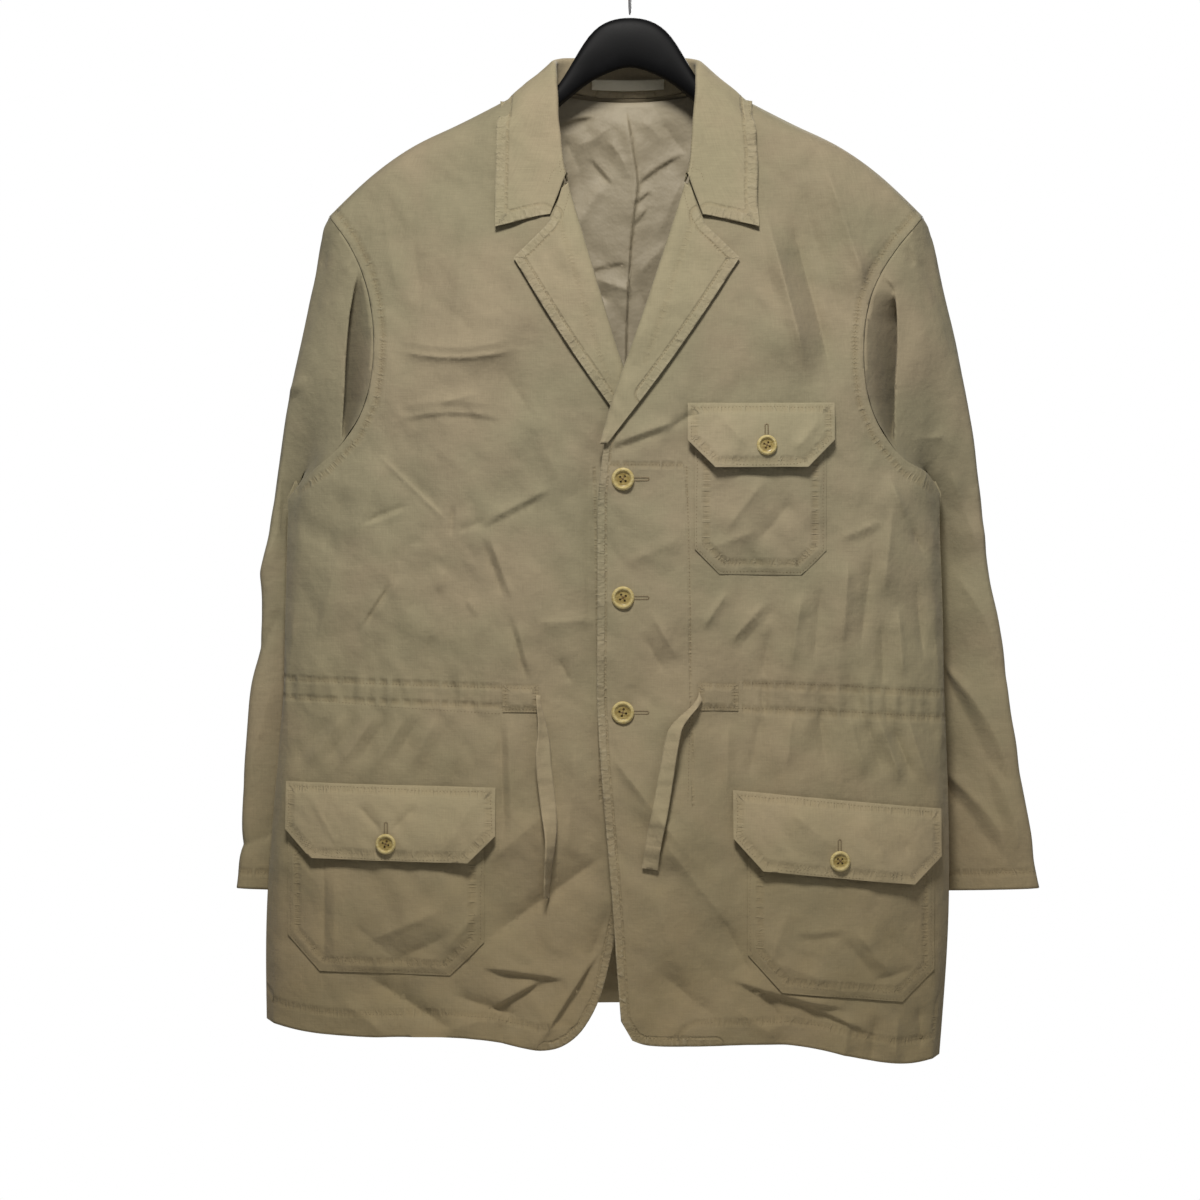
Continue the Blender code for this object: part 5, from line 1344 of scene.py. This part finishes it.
patterns = {size: (lathe_button(f"button_{size}", size), sewing_cross(f"cross_{size}", size))
            for size in (FRONT_BUTTON, POCKET_BUTTON)}
for node, (carrier, size, turn) in BUTTONS.items():
    low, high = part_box(node)
    centre = (low + high) / 2
    seat, facing = surface_of(carrier).ray_cast(Vector((centre.x, -1.0, centre.z)), Vector((0, 1, 0)))[:2]
    facing = (facing + Vector((0, -1.2, 0))).normalized()
    to_face = np.array(facing.to_track_quat("Z", "Y").to_matrix().to_4x4().to_3x3())
    cos, sin = math.cos(np.radians(turn)), math.sin(np.radians(turn))
    spin = np.array([[cos, sin, 0], [-sin, cos, 0], [0, 0, 1]])
    for pattern, kind in zip(patterns[size], ("made", "thread")):
        made = pattern.copy()
        made.data = pattern.data.copy()
        made.name = f"{node}_{kind}"
        bpy.context.scene.collection.objects.link(made)
        set_points(made, points_of(made) @ spin @ to_face.T + np.array(seat))
        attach(made, "root")
        if kind == "made":
            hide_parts(node)
for pair in patterns.values():
    for pattern in pair:
        bpy.data.objects.remove(pattern)

# Buttonholes
# Worked slits beside each front button and above each pocket button, edged with close stitches.
# The stitches lie over a cord, so the edge stands up a little from the cloth.
HOLE_LONG = 0.0235
HOLE_HALF = 0.0013
HOLE_CORD = 0.00062
HOLE_STATIONS = 24


def bend(along, first, last):
    """The round end of a buttonhole, between its straight sides."""
    turns = np.radians(np.linspace(first, last, 7)[1:-1])
    return [(along + HOLE_HALF * math.cos(a), HOLE_HALF * math.sin(a)) for a in turns]


def buttonhole(name, piece, start, way, length):
    """An edged slit on a piece, from a point seen from the front, level or upright."""
    surface = surface_of(piece)
    bm = bmesh.new()
    around = [(share * length, HOLE_HALF) for share in np.linspace(0, 1, HOLE_STATIONS)]
    around += bend(length, 90, -90)
    around += [(share * length, -HOLE_HALF) for share in np.linspace(1, 0, HOLE_STATIONS)]
    around += bend(0.0, 270, 90)
    rings = []
    for i, (along, aside) in enumerate(around):
        x, z = (along, aside) if way == "level" else (-aside, along)
        hit, out = surface.ray_cast(Vector((start[0] + x, -1.0, start[1] + z)), Vector((0, 1, 0)))[:2]
        ahead, behind = around[(i + 1) % len(around)], around[i - 1]
        run = Vector((ahead[0] - behind[0], 0, ahead[1] - behind[1]))
        if way != "level":
            run = Vector((-run.z, 0, run.x))
        over = run.cross(out).normalized()
        size = HOLE_CORD * (1.0 + 0.18 * (-1) ** i)
        ring = [hit + over * (size * math.cos(a)) + out * (0.0001 + size * 0.7 * math.sin(a))
                for a in CORD_TURNS]
        rings.append([bm.verts.new(p) for p in ring])
    skin(bm, rings + rings[:1])
    thread_on(made_of(bm, name))


for node, (carrier, size, _) in BUTTONS.items():
    low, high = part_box(node)
    x, z = (low.x + high.x) / 2, (low.z + high.z) / 2
    if size == POCKET_BUTTON:
        buttonhole(f"{node}_hole", carrier, (x, z - 0.003), "upright", HOLE_LONG - 0.003)
    else:
        buttonhole(f"{node}_hole", carrier, (x - 0.002, z), "level", HOLE_LONG)

# Hanger
# A thick black moulded hanger with a satin skin, and a bright bent wire hook pressed into its top.
# Both keep the form of their solids, merged and rounded finer.
moulded, place, shader = finish_of("satin black plastic", 0.55, {"Specular IOR Level": 0.14})
skin_grain = place.noise(900.0)
scuff = place.noise(26.0, 5.0)
black = scuff.ramp(0.45, 0.80).mix((0.0035, 0.0036, 0.0042, 1.0), (0.008, 0.008, 0.009, 1.0))
feed(black, shader, "Base Color")
feed(0.44 + 0.14 * scuff + 0.05 * skin_grain, shader, "Roughness")
feed(skin_grain.bump(0.12, 0.0003), shader, "Normal")
wire, place, shader = finish_of("bright wire", 0.22, {"Metallic": 1.0})
drawn = place.noise(420.0, 3.0)
feed(drawn.mix((0.52, 0.52, 0.54, 1.0), (0.70, 0.70, 0.71, 1.0)), shader, "Base Color")
feed(0.16 + 0.16 * drawn, shader, "Roughness")
FLAT_ENOUGH = math.radians(60)      # triangles that bend less than this join to quads
for node, material, slot in (("hanger_body", moulded, "hanger"), ("hanger_hook", wire, "hook")):
    piece = merged_copy(node, "smooth")
    bpy.ops.object.mode_set(mode="EDIT")
    bpy.ops.mesh.select_all(action="SELECT")
    bpy.ops.mesh.tris_convert_to_quads(face_threshold=FLAT_ENOUGH, shape_threshold=FLAT_ENOUGH)
    bpy.ops.object.mode_set(mode="OBJECT")
    cut_finer(piece)
    put_on(piece, material, slot, node)

# Studio
# A pale floor well below the hem, a soft lamp from above the camera, and a level camera at the photo's angle.
# A weak lamp fills the shade on the left, and another lights the back.
FLOOR_Z = -1.70
bpy.ops.object.select_all(action="DESELECT")
bpy.ops.mesh.primitive_circle_add(vertices=96, radius=2.0, fill_type="NGON", location=(0, 0, FLOOR_Z))
floor = bpy.context.object
floor.name = "floor"
pale, place, shader = finish_of("pale floor", 0.9)
feed(place.noise(4.0).mix((0.80, 0.80, 0.79, 1.0), (0.86, 0.86, 0.85, 1.0)), shader, "Base Color")
floor.data.materials.append(pale)


def area_lamp(name, place, target, size, power, colour):
    """A round lamp that faces a place."""
    lamp = bpy.data.lights.new(name, "AREA")
    lamp.shape, lamp.size, lamp.energy, lamp.color = "DISK", size, power, colour
    made = bpy.data.objects.new(name, lamp)
    made.location = place
    made.rotation_euler = (Vector(target) - Vector(place)).to_track_quat("-Z", "Y").to_euler()
    bpy.context.scene.collection.objects.link(made)


area_lamp("key lamp", (-0.12, -1.50, 1.05), (0.0, 0.0, -0.80), 0.50, 41.0, (1.0, 0.975, 0.93))
area_lamp("fill lamp", (1.2, -1.9, 0.1), (0.0, 0.0, -0.6), 1.2, 3.0, (1.0, 0.98, 0.95))
area_lamp("rear lamp", (0.4, 1.5, 0.6), (0.0, 0.0, -0.55), 1.0, 20.0, (1.0, 0.98, 0.95))

world = bpy.data.worlds.new("studio")
bpy.context.scene.world = world
world.use_nodes = True
seen = Socket(world.node_tree).node("ShaderNodeLightPath", {}, output="Is Camera Ray")
surround = seen.mix((0.11, 0.11, 0.11, 1.0), (1.0, 1.0, 1.0, 1.0))
feed(surround, world.node_tree.nodes["Background"], "Color")
bpy.context.scene.view_settings.view_transform = "Standard"

CAMERA_AWAY = 2.600
CAMERA_PLACE = (-0.027, -CAMERA_AWAY, -0.603)
FRAME_WIDE = 1.0831       # what the picture spans at the jacket's middle
SENSOR = 36.0
camera = bpy.data.cameras.new("camera")
camera.sensor_width = SENSOR
camera.lens = SENSOR * CAMERA_AWAY / FRAME_WIDE
viewer = bpy.data.objects.new("camera", camera)
viewer.location = CAMERA_PLACE
viewer.rotation_euler = (math.radians(90), 0, 0)
bpy.context.scene.collection.objects.link(viewer)
bpy.context.scene.camera = viewer

bpy.context.view_layer.update()
